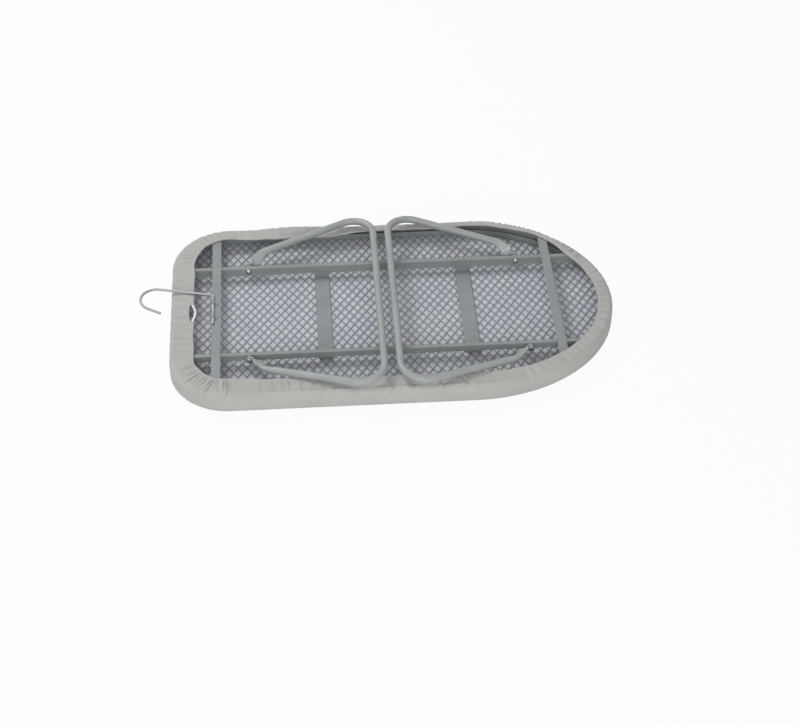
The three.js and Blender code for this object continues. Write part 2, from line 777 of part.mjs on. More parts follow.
function elasticBraid() {
  return new THREE.MeshStandardMaterial({ color: 0xeeeeea, roughness: 0.8, metalness: 0 });
}

function padFelt() {
  return new THREE.MeshStandardMaterial({ color: 0xc4c5d2, roughness: 0.95, metalness: 0 });
}

function meshSteel() {
  return new THREE.MeshStandardMaterial({ color: 0x6a7078, roughness: 0.5, metalness: 0.4 });
}

function paintedSteel() {
  return new THREE.MeshStandardMaterial({ color: 0x949b98, roughness: 0.4, metalness: 0.3 });
}

function platedSteel() {
  return new THREE.MeshStandardMaterial({ color: 0xc2c4c4, roughness: 0.25, metalness: 0.9 });
}

// Assembly

function piece(parent, name, geometry, material, x = 0, y = 0, z = 0) {
  const mesh = new THREE.Mesh(geometry, material);
  mesh.name = name;
  mesh.position.set(x, y, z);
  parent.add(mesh);
}

const board = new THREE.Group();
piece(board, "cover", coverGeometry(), coverCloth());
piece(board, "hem_elastic", elasticGeometry(), elasticBraid());
piece(board, "pad", padGeometry(), padFelt());
piece(board, "mesh_top", meshGeometry(), meshSteel());
piece(board, "rim_channel", rimGeometry(), paintedSteel());
piece(board, "rail_far", railGeometry(1), paintedSteel());
piece(board, "rail_near", railGeometry(-1), paintedSteel());
piece(board, "tail_strap", strapGeometry(tailStrapX), paintedSteel(), tailStrapX);
piece(board, "nose_strap", strapGeometry(noseStrapX), paintedSteel(), noseStrapX);
piece(board, "tail_tie", tieGeometry(), paintedSteel(), tailTieX);
piece(board, "nose_tie", tieGeometry(), paintedSteel(), noseTieX);

// Each leg lies towards the middle of the board. The nose leg is the tail leg turned round.
for (const [end, pivotX, turned] of [
  ["tail", tailPivotX, 0],
  ["nose", nosePivotX, Math.PI],
]) {
  const pivot = new THREE.Group();
  pivot.position.set(pivotX, 0, pivotZ);
  pivot.rotation.z = turned;
  board.add(pivot);
  const folded = new THREE.Group();
  folded.rotation.y = -foldedTilt;
  pivot.add(folded);
  piece(folded, `${end}_leg`, legGeometry(), paintedSteel());
  for (const [side, flip] of [
    ["far", 0],
    ["near", Math.PI],
  ]) {
    const across = new THREE.Group();
    across.position.set(pivotX, 0, pivotZ);
    across.rotation.z = flip;
    board.add(across);
    piece(across, `${end}_rivet_${side}`, rivetGeometry(), platedSteel());
    piece(across, `${end}_collar_${side}`, collarGeometry(), platedSteel());
  }
}

const hook = new THREE.Group();
hook.position.set(hookX, 0, hookZ);
hook.rotation.y = hookTilt();
board.add(hook);
piece(hook, "hanging_hook", hookGeometry(), platedSteel());
piece(board, "hook_clip_far", clipGeometry(), paintedSteel(), hookX, CLIP_SPACING / 2, hookZ);
piece(board, "hook_clip_near", clipGeometry(), paintedSteel(), hookX, -CLIP_SPACING / 2, hookZ);

export default board;
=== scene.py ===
import json
import math
import random

import bmesh
import bpy
import numpy as np
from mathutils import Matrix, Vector

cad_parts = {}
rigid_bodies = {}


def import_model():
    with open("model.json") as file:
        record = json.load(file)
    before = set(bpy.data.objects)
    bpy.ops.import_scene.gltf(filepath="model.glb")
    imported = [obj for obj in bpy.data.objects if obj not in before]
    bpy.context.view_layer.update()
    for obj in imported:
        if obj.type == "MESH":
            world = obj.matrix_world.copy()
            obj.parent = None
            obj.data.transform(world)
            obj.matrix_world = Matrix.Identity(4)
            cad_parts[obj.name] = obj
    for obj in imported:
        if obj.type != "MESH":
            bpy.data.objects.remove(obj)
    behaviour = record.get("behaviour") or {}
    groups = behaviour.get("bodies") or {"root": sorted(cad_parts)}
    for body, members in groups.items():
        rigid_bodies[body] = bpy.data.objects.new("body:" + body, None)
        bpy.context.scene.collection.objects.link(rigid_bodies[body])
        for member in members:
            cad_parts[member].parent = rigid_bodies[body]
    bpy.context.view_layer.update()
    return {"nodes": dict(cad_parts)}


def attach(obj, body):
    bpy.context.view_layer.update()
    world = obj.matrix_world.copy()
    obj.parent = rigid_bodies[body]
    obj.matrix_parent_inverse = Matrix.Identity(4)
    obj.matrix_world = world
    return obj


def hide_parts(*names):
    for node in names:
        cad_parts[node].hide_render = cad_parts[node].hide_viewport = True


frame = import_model()

# Sizes in millimetres, the same as the board's own. The scene is in metres.
MM = 0.001
CLEARANCE = 0.3
REST_GAP = 0.5
BOARD_LENGTH = 600
BOARD_WIDTH = 350
TAIL_CORNER_RADIUS = 80
NOSE_LENGTH = 200
TAIL_X = -BOARD_LENGTH / 2
HALF_WIDTH = BOARD_WIDTH / 2

COVER_THICKNESS = 0.5
PAD_BOTTOM = 0.8
PAD_TOP = 5.8
MESH_BOTTOM = 6.1
MESH_TOP = 7.3
RIM_BOTTOM = 7.6
RIM_TOP = 25.6
RIM_WALL = 1
RIM_CORNER = 2
RIM_INSET = 0.8
RIM_LOWER_FLANGE = 7
RIM_UPPER_FLANGE = 8
RIM_LIP = 8.7
FLANGE_INSET = RIM_INSET + RIM_UPPER_FLANGE

# Hem: share of the length from the tail, width on the far and near side, sag on the far and near side
HEM = np.array([
    [0, 31, 32, 0, 0],
    [0.07, 25, 34, 0, 0],
    [0.18, 20.5, 35, 0, 0],
    [0.22, 20, 35, 1, 1],
    [0.3, 20.5, 33, 1, 1],
    [0.38, 21, 31, 1, 1],
    [0.4, 21, 31, 0, 1],
    [0.435, 16, 31, 0, 1],
    [0.55, 15, 30, 0, 1],
    [0.66, 15, 30, 0, 1],
    [0.73, 9, 28, 0, 1],
    [0.77, 9.5, 26, 0, 0],
    [0.865, 10, 21, 0, 0],
    [0.94, 19, 20, 0, 0],
    [1, 20, 20, 0, 0],
])
HEM_SHOULDER = 3.2
SOFT_SHOULDER = 6.5
HEM_BOTTOM = 25.9
HEM_TOP = 28.1
CASING_HEIGHT = HEM_TOP - HEM_BOTTOM
CASING_LENGTH = 5.5
CASING_MOUTH = 36
CASING_MOUTH_Y = -4
MOUTH_DRAW = 2.5
ELASTIC_BOW = 3.5
STRAP_X = (-238.7, 219.8)
STRAP_DRAPE = 24.25
STRAP_CLEAR = 9
RAIL_CLEAR = 8
STRAP_LIFT = 1.3
LIFT_RAMP = 14

RAIL_INNER = 87
RAIL_OUTER = 93
RAIL_HEIGHT = 9
RAIL_LIP = 3
TIE_SLOT = 1.6
LIP_FLARE = 1
TONGUE_MIDDLE = 98.8
TONGUE_THICKNESS = 2.4
TONGUE_HEIGHT = 15
TONGUE_EYE = 11
TONGUE_END = 4.5
PIVOT_Z = 21.6
PIVOT_X = {"tail": -194.714, "nose": 177.914}
TUBE_RADIUS = 5
LEG_LENGTH = 177
FOOT_HALF = HALF_WIDTH - 6.3
FOOT_BEND_RADIUS = 31
FOLDED_TILT = math.radians(5.4)
ARM_SLOPE = math.radians(21.2)
TONGUE_STRAIGHT = 3
TONGUE_BEND_RADIUS = 7
TONGUE_SPLAY = math.radians(58)
TONGUE_TWIST = math.radians(62)
TONGUE_RISE = 3
TWIST_LENGTH = 11
ARM_BEND_RADIUS = 20
FLATTEN_START = 16
FLATTEN_END = 46
ARM_END = (LEG_LENGTH - FOOT_BEND_RADIUS * (1 + math.sin(ARM_SLOPE)),
           FOOT_HALF - FOOT_BEND_RADIUS * (1 - math.cos(ARM_SLOPE)))

WIRE_RADIUS = 1.75
HOOK_X = -243
HOOK_Z = 28.95
HOOK_REST = 34
HOOK_START = (0, -30)
HOOK_MOVES = [(56,), (math.radians(81), 4), (70,), (math.radians(160), 22), (19,)]


# Camera, floor and light
FILL_LIGHT = 0.42
FLOOR_TONE = 0.92
FLOOR_GLOW = 0.92


def photo_camera():
    """A long lens that looks down on the board from the near side."""
    camera = bpy.data.objects.new("camera", bpy.data.cameras.new("camera"))
    bpy.context.scene.collection.objects.link(camera)
    camera.data.sensor_width = 36
    camera.data.lens = 83.68
    pitch = math.radians(42.0)
    yaw = math.radians(3.763)
    sight = Vector((math.sin(yaw) * math.cos(pitch), math.cos(yaw) * math.cos(pitch), -math.sin(pitch)))
    camera.location = (-0.1165, -1.9288, 1.6575)
    camera.rotation_euler = sight.to_track_quat("-Z", "Y").to_euler()
    bpy.context.scene.camera = camera


def seen_directly(nodes, links):
    """One where a camera, glossy or transmitted ray looks, else zero."""
    ray = nodes.new("ShaderNodeLightPath").outputs
    seen = together(nodes, links, "MAXIMUM", ray["Is Camera Ray"], ray["Is Glossy Ray"])
    return together(nodes, links, "MAXIMUM", seen, ray["Is Transmission Ray"])


def white_surroundings():
    world = bpy.data.worlds.new("surroundings")
    bpy.context.scene.world = world
    world.use_nodes = True
    nodes, links = world.node_tree.nodes, world.node_tree.links
    nodes.clear()
    fill = nodes.new("ShaderNodeBackground")
    fill.inputs["Color"].default_value = (1, 1, 1, 1)
    fill.inputs["Strength"].default_value = FILL_LIGHT
    white = nodes.new("ShaderNodeBackground")
    white.inputs["Color"].default_value = (1, 1, 1, 1)
    white.inputs["Strength"].default_value = 1
    either = nodes.new("ShaderNodeMixShader")
    output = nodes.new("ShaderNodeOutputWorld")
    links.new(seen_directly(nodes, links), either.inputs[0])
    links.new(fill.outputs[0], either.inputs[1])
    links.new(white.outputs[0], either.inputs[2])
    links.new(either.outputs[0], output.inputs["Surface"])


def pale_floor():
    bpy.ops.object.select_all(action="DESELECT")
    bpy.ops.mesh.primitive_plane_add(size=40, location=(0, 0, -0.0002))
    floor = bpy.context.object
    floor.name = "floor"
    surface = bpy.data.materials.new("pale_floor")
    surface.use_nodes = True
    nodes, links = surface.node_tree.nodes, surface.node_tree.links
    nodes.clear()
    matt = nodes.new("ShaderNodeBsdfDiffuse")
    matt.inputs["Color"].default_value = (FLOOR_TONE, FLOOR_TONE, FLOOR_TONE, 1)
    white = nodes.new("ShaderNodeEmission")
    white.inputs["Strength"].default_value = 1
    share = nodes.new("ShaderNodeMath")
    share.operation = "MULTIPLY"
    share.inputs[1].default_value = FLOOR_GLOW
    either = nodes.new("ShaderNodeMixShader")
    output = nodes.new("ShaderNodeOutputMaterial")
    links.new(seen_directly(nodes, links), share.inputs[0])
    links.new(share.outputs[0], either.inputs[0])
    links.new(matt.outputs[0], either.inputs[1])
    links.new(white.outputs[0], either.inputs[2])
    links.new(either.outputs[0], output.inputs["Surface"])
    floor.data.materials.append(surface)


def soft_box(name, place, aim, size, power):
    lamp = bpy.data.lights.new(name, "AREA")
    lamp.shape = "SQUARE"
    lamp.size = size
    lamp.energy = power
    holder = bpy.data.objects.new(name, lamp)
    bpy.context.scene.collection.objects.link(holder)
    holder.location = place
    holder.rotation_euler = (Vector(aim) - Vector(place)).to_track_quat("-Z", "Y").to_euler()


# Finishes

def srgb(red, green, blue):
    """A colour as it is seen, from 0 to 255, as the shader wants it."""
    def linear(value):
        value /= 255
        return value / 12.92 if value <= 0.04045 else ((value + 0.055) / 1.055) ** 2.4
    return (linear(red), linear(green), linear(blue), 1)


def new_finish(name):
    finish = bpy.data.materials.new(name)
    finish.use_nodes = True
    nodes = finish.node_tree.nodes
    place = nodes.new("ShaderNodeTexCoord").outputs
    return finish, nodes, finish.node_tree.links, nodes["Principled BSDF"], place


def mottle(nodes, links, coordinates, scale, detail=3):
    noise = nodes.new("ShaderNodeTexNoise")
    noise.inputs["Scale"].default_value = scale
    noise.inputs["Detail"].default_value = detail
    links.new(coordinates, noise.inputs["Vector"])
    return noise.outputs["Fac"]


def tint(nodes, links, value, low, high, start=0.3, end=0.7):
    ramp = nodes.new("ShaderNodeValToRGB")
    ramp.color_ramp.elements[0].position = start
    ramp.color_ramp.elements[0].color = low
    ramp.color_ramp.elements[1].position = end
    ramp.color_ramp.elements[1].color = high
    links.new(value, ramp.inputs["Fac"])
    return ramp.outputs["Color"]


def spread(nodes, links, value, low, high):
    reach = nodes.new("ShaderNodeMapRange")
    reach.inputs["From Min"].default_value = 0.3
    reach.inputs["From Max"].default_value = 0.7
    reach.inputs["To Min"].default_value = low
    reach.inputs["To Max"].default_value = high
    links.new(value, reach.inputs["Value"])
    return reach.outputs["Result"]


def relief(nodes, links, height, strength, distance, under=None):
    bump = nodes.new("ShaderNodeBump")
    bump.inputs["Strength"].default_value = strength
    bump.inputs["Distance"].default_value = distance
    links.new(height, bump.inputs["Height"])
    if under is not None:
        links.new(under, bump.inputs["Normal"])
    return bump.outputs["Normal"]


def threads(nodes, links, coordinates, pitch, direction):
    """Rounded ribs across one direction, a pitch apart in metres."""
    wave = nodes.new("ShaderNodeTexWave")
    wave.bands_direction = direction
    wave.inputs["Scale"].default_value = math.pi / 10 / pitch
    links.new(coordinates, wave.inputs["Vector"])
    return wave.outputs["Fac"]


def together(nodes, links, operation, first, second):
    both = nodes.new("ShaderNodeMath")
    both.operation = operation
    links.new(first, both.inputs[0])
    links.new(second, both.inputs[1])
    return both.outputs[0]


def woven_cotton():
    finish, nodes, links, shader, place = new_finish("woven_cotton")
    cloud = mottle(nodes, links, place["Object"], 26, 4)
    colour = tint(nodes, links, cloud, srgb(178, 179, 175), srgb(186, 187, 183))
    links.new(colour, shader.inputs["Base Color"])
    warp = threads(nodes, links, place["UV"], 0.0007, "X")
    weft = threads(nodes, links, place["UV"], 0.0007, "Y")
    weave = together(nodes, links, "MAXIMUM", warp, weft)
    crumple = mottle(nodes, links, place["Object"], 120, 3)
    soft = relief(nodes, links, crumple, 0.25, 0.0012)
    links.new(relief(nodes, links, weave, 0.3, 0.0001, soft), shader.inputs["Normal"])
    shader.inputs["Roughness"].default_value = 0.88
    shader.inputs["Specular IOR Level"].default_value = 0.25
    shader.inputs["Sheen Weight"].default_value = 0.12
    shader.inputs["Sheen Roughness"].default_value = 0.5
    return finish


def braided_elastic():
    finish, nodes, links, shader, place = new_finish("braided_elastic")
    ribs = threads(nodes, links, place["Object"], 0.0008, "DIAGONAL")
    colour = tint(nodes, links, ribs, srgb(226, 227, 224), srgb(244, 244, 241))
    links.new(colour, shader.inputs["Base Color"])
    links.new(relief(nodes, links, ribs, 0.5, 0.0002), shader.inputs["Normal"])
    shader.inputs["Roughness"].default_value = 0.8
    return finish


def pale_felt():
    finish, nodes, links, shader, place = new_finish("pale_felt")
    cloud = mottle(nodes, links, place["Object"], 40, 5)
    colour = tint(nodes, links, cloud, srgb(200, 202, 210), srgb(214, 215, 221))
    links.new(colour, shader.inputs["Base Color"])
    fibre = mottle(nodes, links, place["Object"], 900, 6)
    links.new(relief(nodes, links, fibre, 0.5, 0.0006), shader.inputs["Normal"])
    shader.inputs["Roughness"].default_value = 0.95
    shader.inputs["Specular IOR Level"].default_value = 0.2
    return finish


def coated_steel(name, low, high, smooth, rough, cloud_scale, grain_scale, strength, depth):
    """A faint cloudiness, uneven gloss and a fine grain."""
    finish, nodes, links, shader, place = new_finish(name)
    cloud = mottle(nodes, links, place["Object"], cloud_scale, 4)
    links.new(tint(nodes, links, cloud, low, high), shader.inputs["Base Color"])
    links.new(spread(nodes, links, cloud, smooth, rough), shader.inputs["Roughness"])
    grain = mottle(nodes, links, place["Object"], grain_scale, 2)
    links.new(relief(nodes, links, grain, strength, depth), shader.inputs["Normal"])
    return finish, shader


def grey_paint(name, low, high, smooth, rough):
    """Sprayed paint, with orange peel for its grain."""
    finish, shader = coated_steel(name, low, high, smooth, rough, 30, 700, 0.12, 0.0002)
    shader.inputs["Specular IOR Level"].default_value = 0.5
    return finish


def bright_metal(name, low, high, smooth, rough):
    """Plating, with fine scratches for its grain."""
    finish, shader = coated_steel(name, low, high, smooth, rough, 160, 1400, 0.08, 0.0001)
    shader.inputs["Metallic"].default_value = 1
    return finish


# Ways of working

def put_away():
    """Leaves edit mode and deselects everything."""
    if bpy.context.object and bpy.context.object.mode == "EDIT":
        bpy.ops.object.mode_set(mode="OBJECT")
    bpy.ops.object.select_all(action="DESELECT")


def take_up(piece):
    put_away()
    piece.select_set(True)
    bpy.context.view_layer.objects.active = piece


def work_on(piece):
    take_up(piece)
    bpy.ops.object.mode_set(mode="EDIT")
    bpy.ops.mesh.select_mode(type="VERT")


def take_all():
    bpy.ops.mesh.select_all(action="SELECT")


def settle():
    """Keeps the shape as it lies, with the object back at the origin, unturned."""
    bpy.ops.object.transform_apply(location=True, rotation=True, scale=True)


def choose(piece, test):
    """Selects the vertices whose place, in millimetres, passes the test."""
    shape = bmesh.from_edit_mesh(piece.data)
    for vertex in shape.verts:
        vertex.select_set(bool(test(vertex.co / MM)))
    shape.select_flush(True)
    bmesh.update_edit_mesh(piece.data)


def metres(*values):
    return tuple(value * MM for value in values)


def shift(x, y, z):
    bpy.ops.transform.translate(value=metres(x, y, z), orient_type="GLOBAL")


def resize(x, y, z, centre):
    bpy.ops.transform.resize(value=(x, y, z), orient_type="GLOBAL", center_override=metres(*centre))


def pull(x, y, z):
    move = {"value": metres(x, y, z), "orient_type": "GLOBAL"}
    bpy.ops.mesh.extrude_region_move(TRANSFORM_OT_translate=move)


def close_up(piece, merge=0.001):
    """Merges what lies together and turns all faces outwards."""
    work_on(piece)
    take_all()
    bpy.ops.mesh.remove_doubles(threshold=merge * MM)
    bpy.ops.mesh.normals_make_consistent(inside=False)
    put_away()


def round_over(piece, angle=35):
    take_up(piece)
    bpy.ops.object.shade_smooth_by_angle(angle=math.radians(angle))
    put_away()


def modify(piece, kind, **settings):
    """Adds a modifier, sets it and applies it."""
    take_up(piece)
    modifier = piece.modifiers.new(kind.lower(), kind)
    for setting, value in settings.items():
        setattr(modifier, setting, value)
    bpy.ops.object.modifier_apply(modifier=modifier.name)


def bend_along(piece, route, closed=False):
    """Bends a straight bar along a route of points: its own X axis runs along it."""
    guide = bpy.data.curves.new("route", "CURVE")
    guide.dimensions = "3D"
    guide.twist_mode = "Z_UP"
    line = guide.splines.new("POLY")
    line.points.add(len(route) - 1)
    for point, place in zip(line.points, route):
        point.co = (*metres(*place), 1)
    line.use_cyclic_u = closed
    holder = bpy.data.objects.new("route", guide)
    bpy.context.scene.collection.objects.link(holder)
    modify(piece, "CURVE", object=holder, deform_axis="POS_X")
    bpy.data.objects.remove(holder)
    bpy.data.curves.remove(guide)


def route_length(route, closed=False):
    points = np.array(route, float)
    if closed:
        points = np.vstack([points, points[:1]])
    steps = np.linalg.norm(np.diff(points, axis=0), axis=1)
    return np.concatenate([[0], np.cumsum(steps)])


def bent_route(start, heading, moves, step=1.5):
    """A flat route of straights (length) and bends (angle, radius), as points in plan."""
    x, y = start
    route = [(x, y, 0)]
    for move in moves:
        length = move[0] if len(move) == 1 else abs(move[0]) * move[1]
        count = 1 if len(move) == 1 else max(6, math.ceil(length / step))
        turn = 0 if len(move) == 1 else move[0] / count
        chord = length if len(move) == 1 else 2 * move[1] * math.sin(abs(turn) / 2)
        for _ in range(count):
            x += chord * math.cos(heading + turn / 2)
            y += chord * math.sin(heading + turn / 2)
            heading += turn
            route.append((x, y, 0))
    return route


def draw_line(name, points):
    """A line drawn vertex by vertex through points in millimetres. It stays selected."""
    put_away()
    bpy.ops.mesh.primitive_plane_add(size=MM)
    piece = bpy.context.object
    piece.name = name
    work_on(piece)
    take_all()
    bpy.ops.mesh.merge(type="CENTER")
    shift(*points[0])
    for here, there in zip(points, points[1:]):
        step = metres(*(after - before for before, after in zip(here, there)))
        move = {"value": step, "orient_type": "GLOBAL"}
        bpy.ops.mesh.extrude_vertices_move(TRANSFORM_OT_translate=move)
    take_all()
    return piece


def hoop(name, section, route):
    """A bar of one section all the way round a closed route."""
    piece = draw_line(name, [(0, *point) for point in (*section, section[0])])
    bpy.ops.mesh.remove_doubles(threshold=0.001 * MM)
    take_all()
    marks = route_length(route, closed=True)
    for here, there in zip(marks, marks[1:]):
        pull(there - here, 0, 0)
    put_away()
    bend_along(piece, route, closed=True)
    close_up(piece, 0.05)
    return piece


LATHE_STEPS = 28


def turned(name, outline, place, side):
    """A lathe piece about a line along Y: pairs of radius and distance from the board's middle line."""
    piece = draw_line(name, [(*point, 0) for point in outline])
    bpy.ops.mesh.spin(steps=LATHE_STEPS, angle=2 * math.pi, center=(0, 0, 0), axis=(0, 1, 0))
    put_away()
    piece.rotation_euler = (0, 0, 0 if side > 0 else math.pi)
    piece.location = metres(*place)
    take_up(piece)
    settle()
    close_up(piece)
    return piece


def hand_over(piece, finish, slot, body, *nodes):
    """Gives a finished piece its material, its body and the nodes that it stands for."""
    piece.data.materials.clear()
    piece.data.materials.append(finish)
    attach(piece, body)
    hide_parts(*nodes)
    return piece


# The board's outline and the lie of its hem. Each ring round the board has its number of steps.
COVER_STEPS = 920
ELASTIC_STEPS = 760
PAD_STEPS = 300
MESH_STEPS = 900
RIM_STEPS = 240
CROWD_RAMP = 20
EVEN_PARTS = 160


def ramp(value, length):
    """From 0 to 1 over a length."""
    return np.clip(value / length, 0, 1)


def board_outline(count, crowds=()):
    """Steps round the cover's outside from the nose's tip, far side first: points and the ways inwards.

    They are equal, apart from stretches (from, to, times as close) that are crowded.
    """
    nose_x = BOARD_LENGTH / 2 - NOSE_LENGTH
    corner_x = TAIL_X + TAIL_CORNER_RADIUS
    corner_y = HALF_WIDTH - TAIL_CORNER_RADIUS
    nose = np.linspace(0, math.pi / 2, 600)
    corner = np.linspace(math.pi / 2, math.pi, 300)
    far = np.concatenate([
        np.stack([nose_x + NOSE_LENGTH * np.cos(nose), HALF_WIDTH * np.sin(nose)], 1),
        np.stack([corner_x + TAIL_CORNER_RADIUS * np.cos(corner),
                  corner_y + TAIL_CORNER_RADIUS * np.sin(corner)], 1),
        [[TAIL_X, 0]],
    ])
    near = far[-2:0:-1] * [1, -1]
    line = np.concatenate([far, near, far[:1]])
    along = np.concatenate([[0], np.cumsum(np.linalg.norm(np.diff(line, axis=0), axis=1))])
    weight = np.ones(len(line))
    for start, end, times in crowds:
        first, last = sorted(along[np.argmin(np.hypot(*(line[:-1] - point).T))] for point in (start, end))
        within = np.minimum(along - first, last - along)
        weight += (times - 1) * np.clip(0.5 + within / CROWD_RAMP, 0, 1)
    shares = np.concatenate([[0], np.cumsum(np.diff(along) * (weight[1:] + weight[:-1]) / 2)])
    places = np.interp(shares[-1] * np.arange(count) / count, shares, along)
    points = np.stack([np.interp(places, along, line[:, axis]) for axis in (0, 1)], 1)
    ahead = np.stack([np.interp((places + 0.5) % along[-1], along, line[:, axis]) for axis in (0, 1)], 1)
    behind = np.stack([np.interp((places - 0.5) % along[-1], along, line[:, axis]) for axis in (0, 1)], 1)
    way = (ahead - behind) / np.linalg.norm(ahead - behind, axis=1)[:, None]
    return points, np.stack([-way[:, 1], way[:, 0]], 1), places, along[-1]


def smooth_round(values, width):
    """Evens out values round the board over a number of steps."""
    bell = np.hanning(2 * width + 3)[1:-1]
    padded = np.concatenate([values[-width:], values, values[:width]])
    return np.convolve(padded, bell / bell.sum(), "valid")


# Droop of the far hem: middle along the board, half length and depth
DROOP = (-138, 80, 4)
# Waves of the hem's edge: how many round the board, where they start and their height
EDGE_WAVES = [(9, 0.4, 0.3), (14, 2.1, 0.25), (23, 4.4, 0.28), (31, 1.2, 0.25), (47, 5.3, 0.2)]


class Hem:
    """The hem round the board: its width, its lift over the straps and its sag under the folded legs."""

    def __init__(self, count, crowds=()):
        self.points, self.inward, self.places, self.girth = board_outline(count, crowds)
        share = (self.points[:, 0] - TAIL_X) / BOARD_LENGTH
        columns = [np.interp(share, HEM[:, 0], HEM[:, column]) for column in range(1, 5)]
        far = self.points[:, 1] > 0
        even = max(2, round(count / EVEN_PARTS))
        self.width = smooth_round(np.where(far, columns[0], columns[1]), even)
        self.sag_share = smooth_round(np.where(far, columns[2], columns[3]), even)
        edge = self.points + self.inward * self.width[:, None]
        reach = np.abs(edge[:, 1])
        lifts = [np.clip(1 - (np.abs(edge[:, 0] - x) - STRAP_DRAPE) / LIFT_RAMP, 0, 1) for x in STRAP_X]
        aside = ramp(reach - RAIL_INNER, RAIL_OUTER - RAIL_INNER)
        self.lift = smooth_round(np.maximum(*lifts) * aside * STRAP_LIFT, even)
        along = ARM_END[0] - (ARM_END[1] - reach) / math.tan(ARM_SLOPE)
        middle = PIVOT_Z + TONGUE_RISE * math.cos(FOLDED_TILT) + along * math.sin(FOLDED_TILT)
        under = middle - TUBE_RADIUS / math.cos(FOLDED_TILT) - REST_GAP
        self.sag = smooth_round(self.sag_share * np.maximum(0, HEM_TOP - under), even)
        widest = self.width - CASING_LENGTH - CLEARANCE
        self.brink = np.maximum(HEM_SHOULDER + CLEARANCE, np.minimum(FLANGE_INSET + CLEARANCE, widest))
        self.brink_drop = self.sag_share * (CASING_HEIGHT - COVER_THICKNESS - CLEARANCE)
        droop = np.clip(1 - ((self.points[:, 0] - DROOP[0]) / DROOP[1]) ** 4, 0, 1) * far
        self.hang = HEM_TOP + self.lift - np.maximum(self.sag, smooth_round(droop * DROOP[2], even))
        turns = 2 * math.pi * self.places / self.girth
        self.wave = sum(size * np.sin(number * turns + start) for number, start, size in EDGE_WAVES)
        off = np.abs(self.points[:, 1] - CASING_MOUTH_Y) / (CASING_MOUTH / 2)
        at_mouth = (self.points[:, 0] < TAIL_X + 1) & (off < 1)
        self.mouth = np.where(at_mouth, (1 - np.minimum(off, 1) ** 2.5) ** 2, 0)

    def inset(self, inset, height):
        """A ring of points at an inset and a height, in millimetres."""
        plan = self.points + self.inward * np.broadcast_to(inset, self.places.shape)[:, None]
        return np.column_stack([plan, np.broadcast_to(height, self.places.shape)])

    def nearest(self, x, y):
        return self.places[np.argmin(np.hypot(self.points[:, 0] - x, self.points[:, 1] - y))]


# Stretches of the hem with sharp gathers, which take closer steps
CROWDS = [((150, 169), (282, 74), 1.6), ((-300, 20), (-300, -32), 1.8), ((-300, -85), (-205, -175), 4)]
# Gathers: from and to a point on the outline, spacing, depth, width and reach from the casing
GATHERS = [
    ((120, 174), (284, 70), 4.6, 5.6, 1.3, 16),
    ((288, 60), (294, -45), 11, 3.6, 2.0, 28),
    ((290, -55), (110, -175), 15, 3.0, 3.0, 26),
    ((90, -175), (-190, -175), 13, 3.4, 2.6, 28),
    ((-226, -175), (-298, -112), 8, 5.6, 1.1, 28),
    ((-300, -80), (-300, 95), 15, 4.0, 4.0, 44),
    ((-300, 18), (-300, -30), 4.8, 3.4, 1.4, 14),
    ((-298, 108), (-226, 175), 11, 3.4, 2.4, 28),
    ((-215, 175), (95, 175), 18, 2.6, 4, 20),
]
# Single creases: a point on the outline, how far it leans, depth, width and reach
CREASES = [
    ((-252, -172), -0.1, 4.2, 1.1, 46),
    ((-216, -175), -0.31, 3.8, 1.2, 52),
    ((-146, -175), 0.35, 3.4, 1.5, 17),
    ((-139, -175), -0.4, 2.8, 1.5, 15),
    ((-60, -175), 0.3, 1.6, 3.0, 26),
    ((18, -175), -0.5, 2.6, 2.4, 28),
    ((34, -175), 0.6, 2.4, 2.4, 26),
    ((78, -175), 0.5, 2.4, 2.4, 30),
    ((112, -174), -0.4, 2.0, 2.4, 26),
    ((205, -149), 0.2, 1.4, 2.2, 30),
    ((283, -72), 0.15, 2.4, 1.6, 30),
    ((298, -25), -0.1, 3.0, 1.4, 26),
    ((300, 8), 0.1, 2.6, 1.4, 24),
    ((-300, -60), 0.3, 2.6, 2.4, 30),
    ((-300, 42), -0.3, 2.6, 2.4, 30),
]
# How much the gathers of one stretch differ: in place, lean, depth, width and reach
PLACE_SPREAD = 0.35
LEAN_SPREAD = 0.3
DEPTH_RANGE = (0.35, 1.15)
WIDTH_RANGE = (0.75, 1.35)
REACH_RANGE = (0.5, 1.4)
# Width from which a gather is a soft wave, how sharp a narrower one is, and the banks beside it
SOFT_FOLD = 1.9
CREASE_POWER = 1.4
BANK_HEIGHT = 0.4
BANK_WIDTH = 2.6
# Where the far hem stands up: middle along the board, half length, height and how far it leans out
PUFFS = [(-128, 70, 3.2, 1.2), (150, 60, 1.4, 0.6)]


def gather_marks(hem, draw):
    """Each gather as place, lean, depth, width and reach."""
    marks = []
    for start, end, spacing, depth, width, reach in GATHERS:
        first, last = hem.nearest(*start), hem.nearest(*end)
        run = (last - first + hem.girth / 2) % hem.girth - hem.girth / 2
        count = max(2, round(abs(run) / spacing))
        for index in range(count):
            place = first + run * (index + draw.uniform(-PLACE_SPREAD, PLACE_SPREAD)) / count
            lean = draw.uniform(-LEAN_SPREAD, LEAN_SPREAD)
            marks.append((place, lean, depth * draw.uniform(*DEPTH_RANGE),
                          width * draw.uniform(*WIDTH_RANGE), reach * draw.uniform(*REACH_RANGE)))
    for point, lean, depth, width, reach in CREASES:
        marks.append((hem.nearest(*point), lean, depth, width, reach))
    return marks


def gathered(hem, marks, back):
    """How far the cloth stands up (+) or sinks (-) at each place, by its distance back from the casing."""
    total = np.zeros(back.shape)
    for place, lean, depth, width, reach in marks:
        off = (hem.places[None, :] - place - lean * back + hem.girth / 2) % hem.girth - hem.girth / 2
        share = np.abs(off) / width
        power = CREASE_POWER if width < SOFT_FOLD else 2
        fold = BANK_HEIGHT * np.exp(-((share / BANK_WIDTH) ** 2)) - np.exp(-(share**power))
        total += depth * fold * np.exp(-((back / reach) ** 2))
    return total


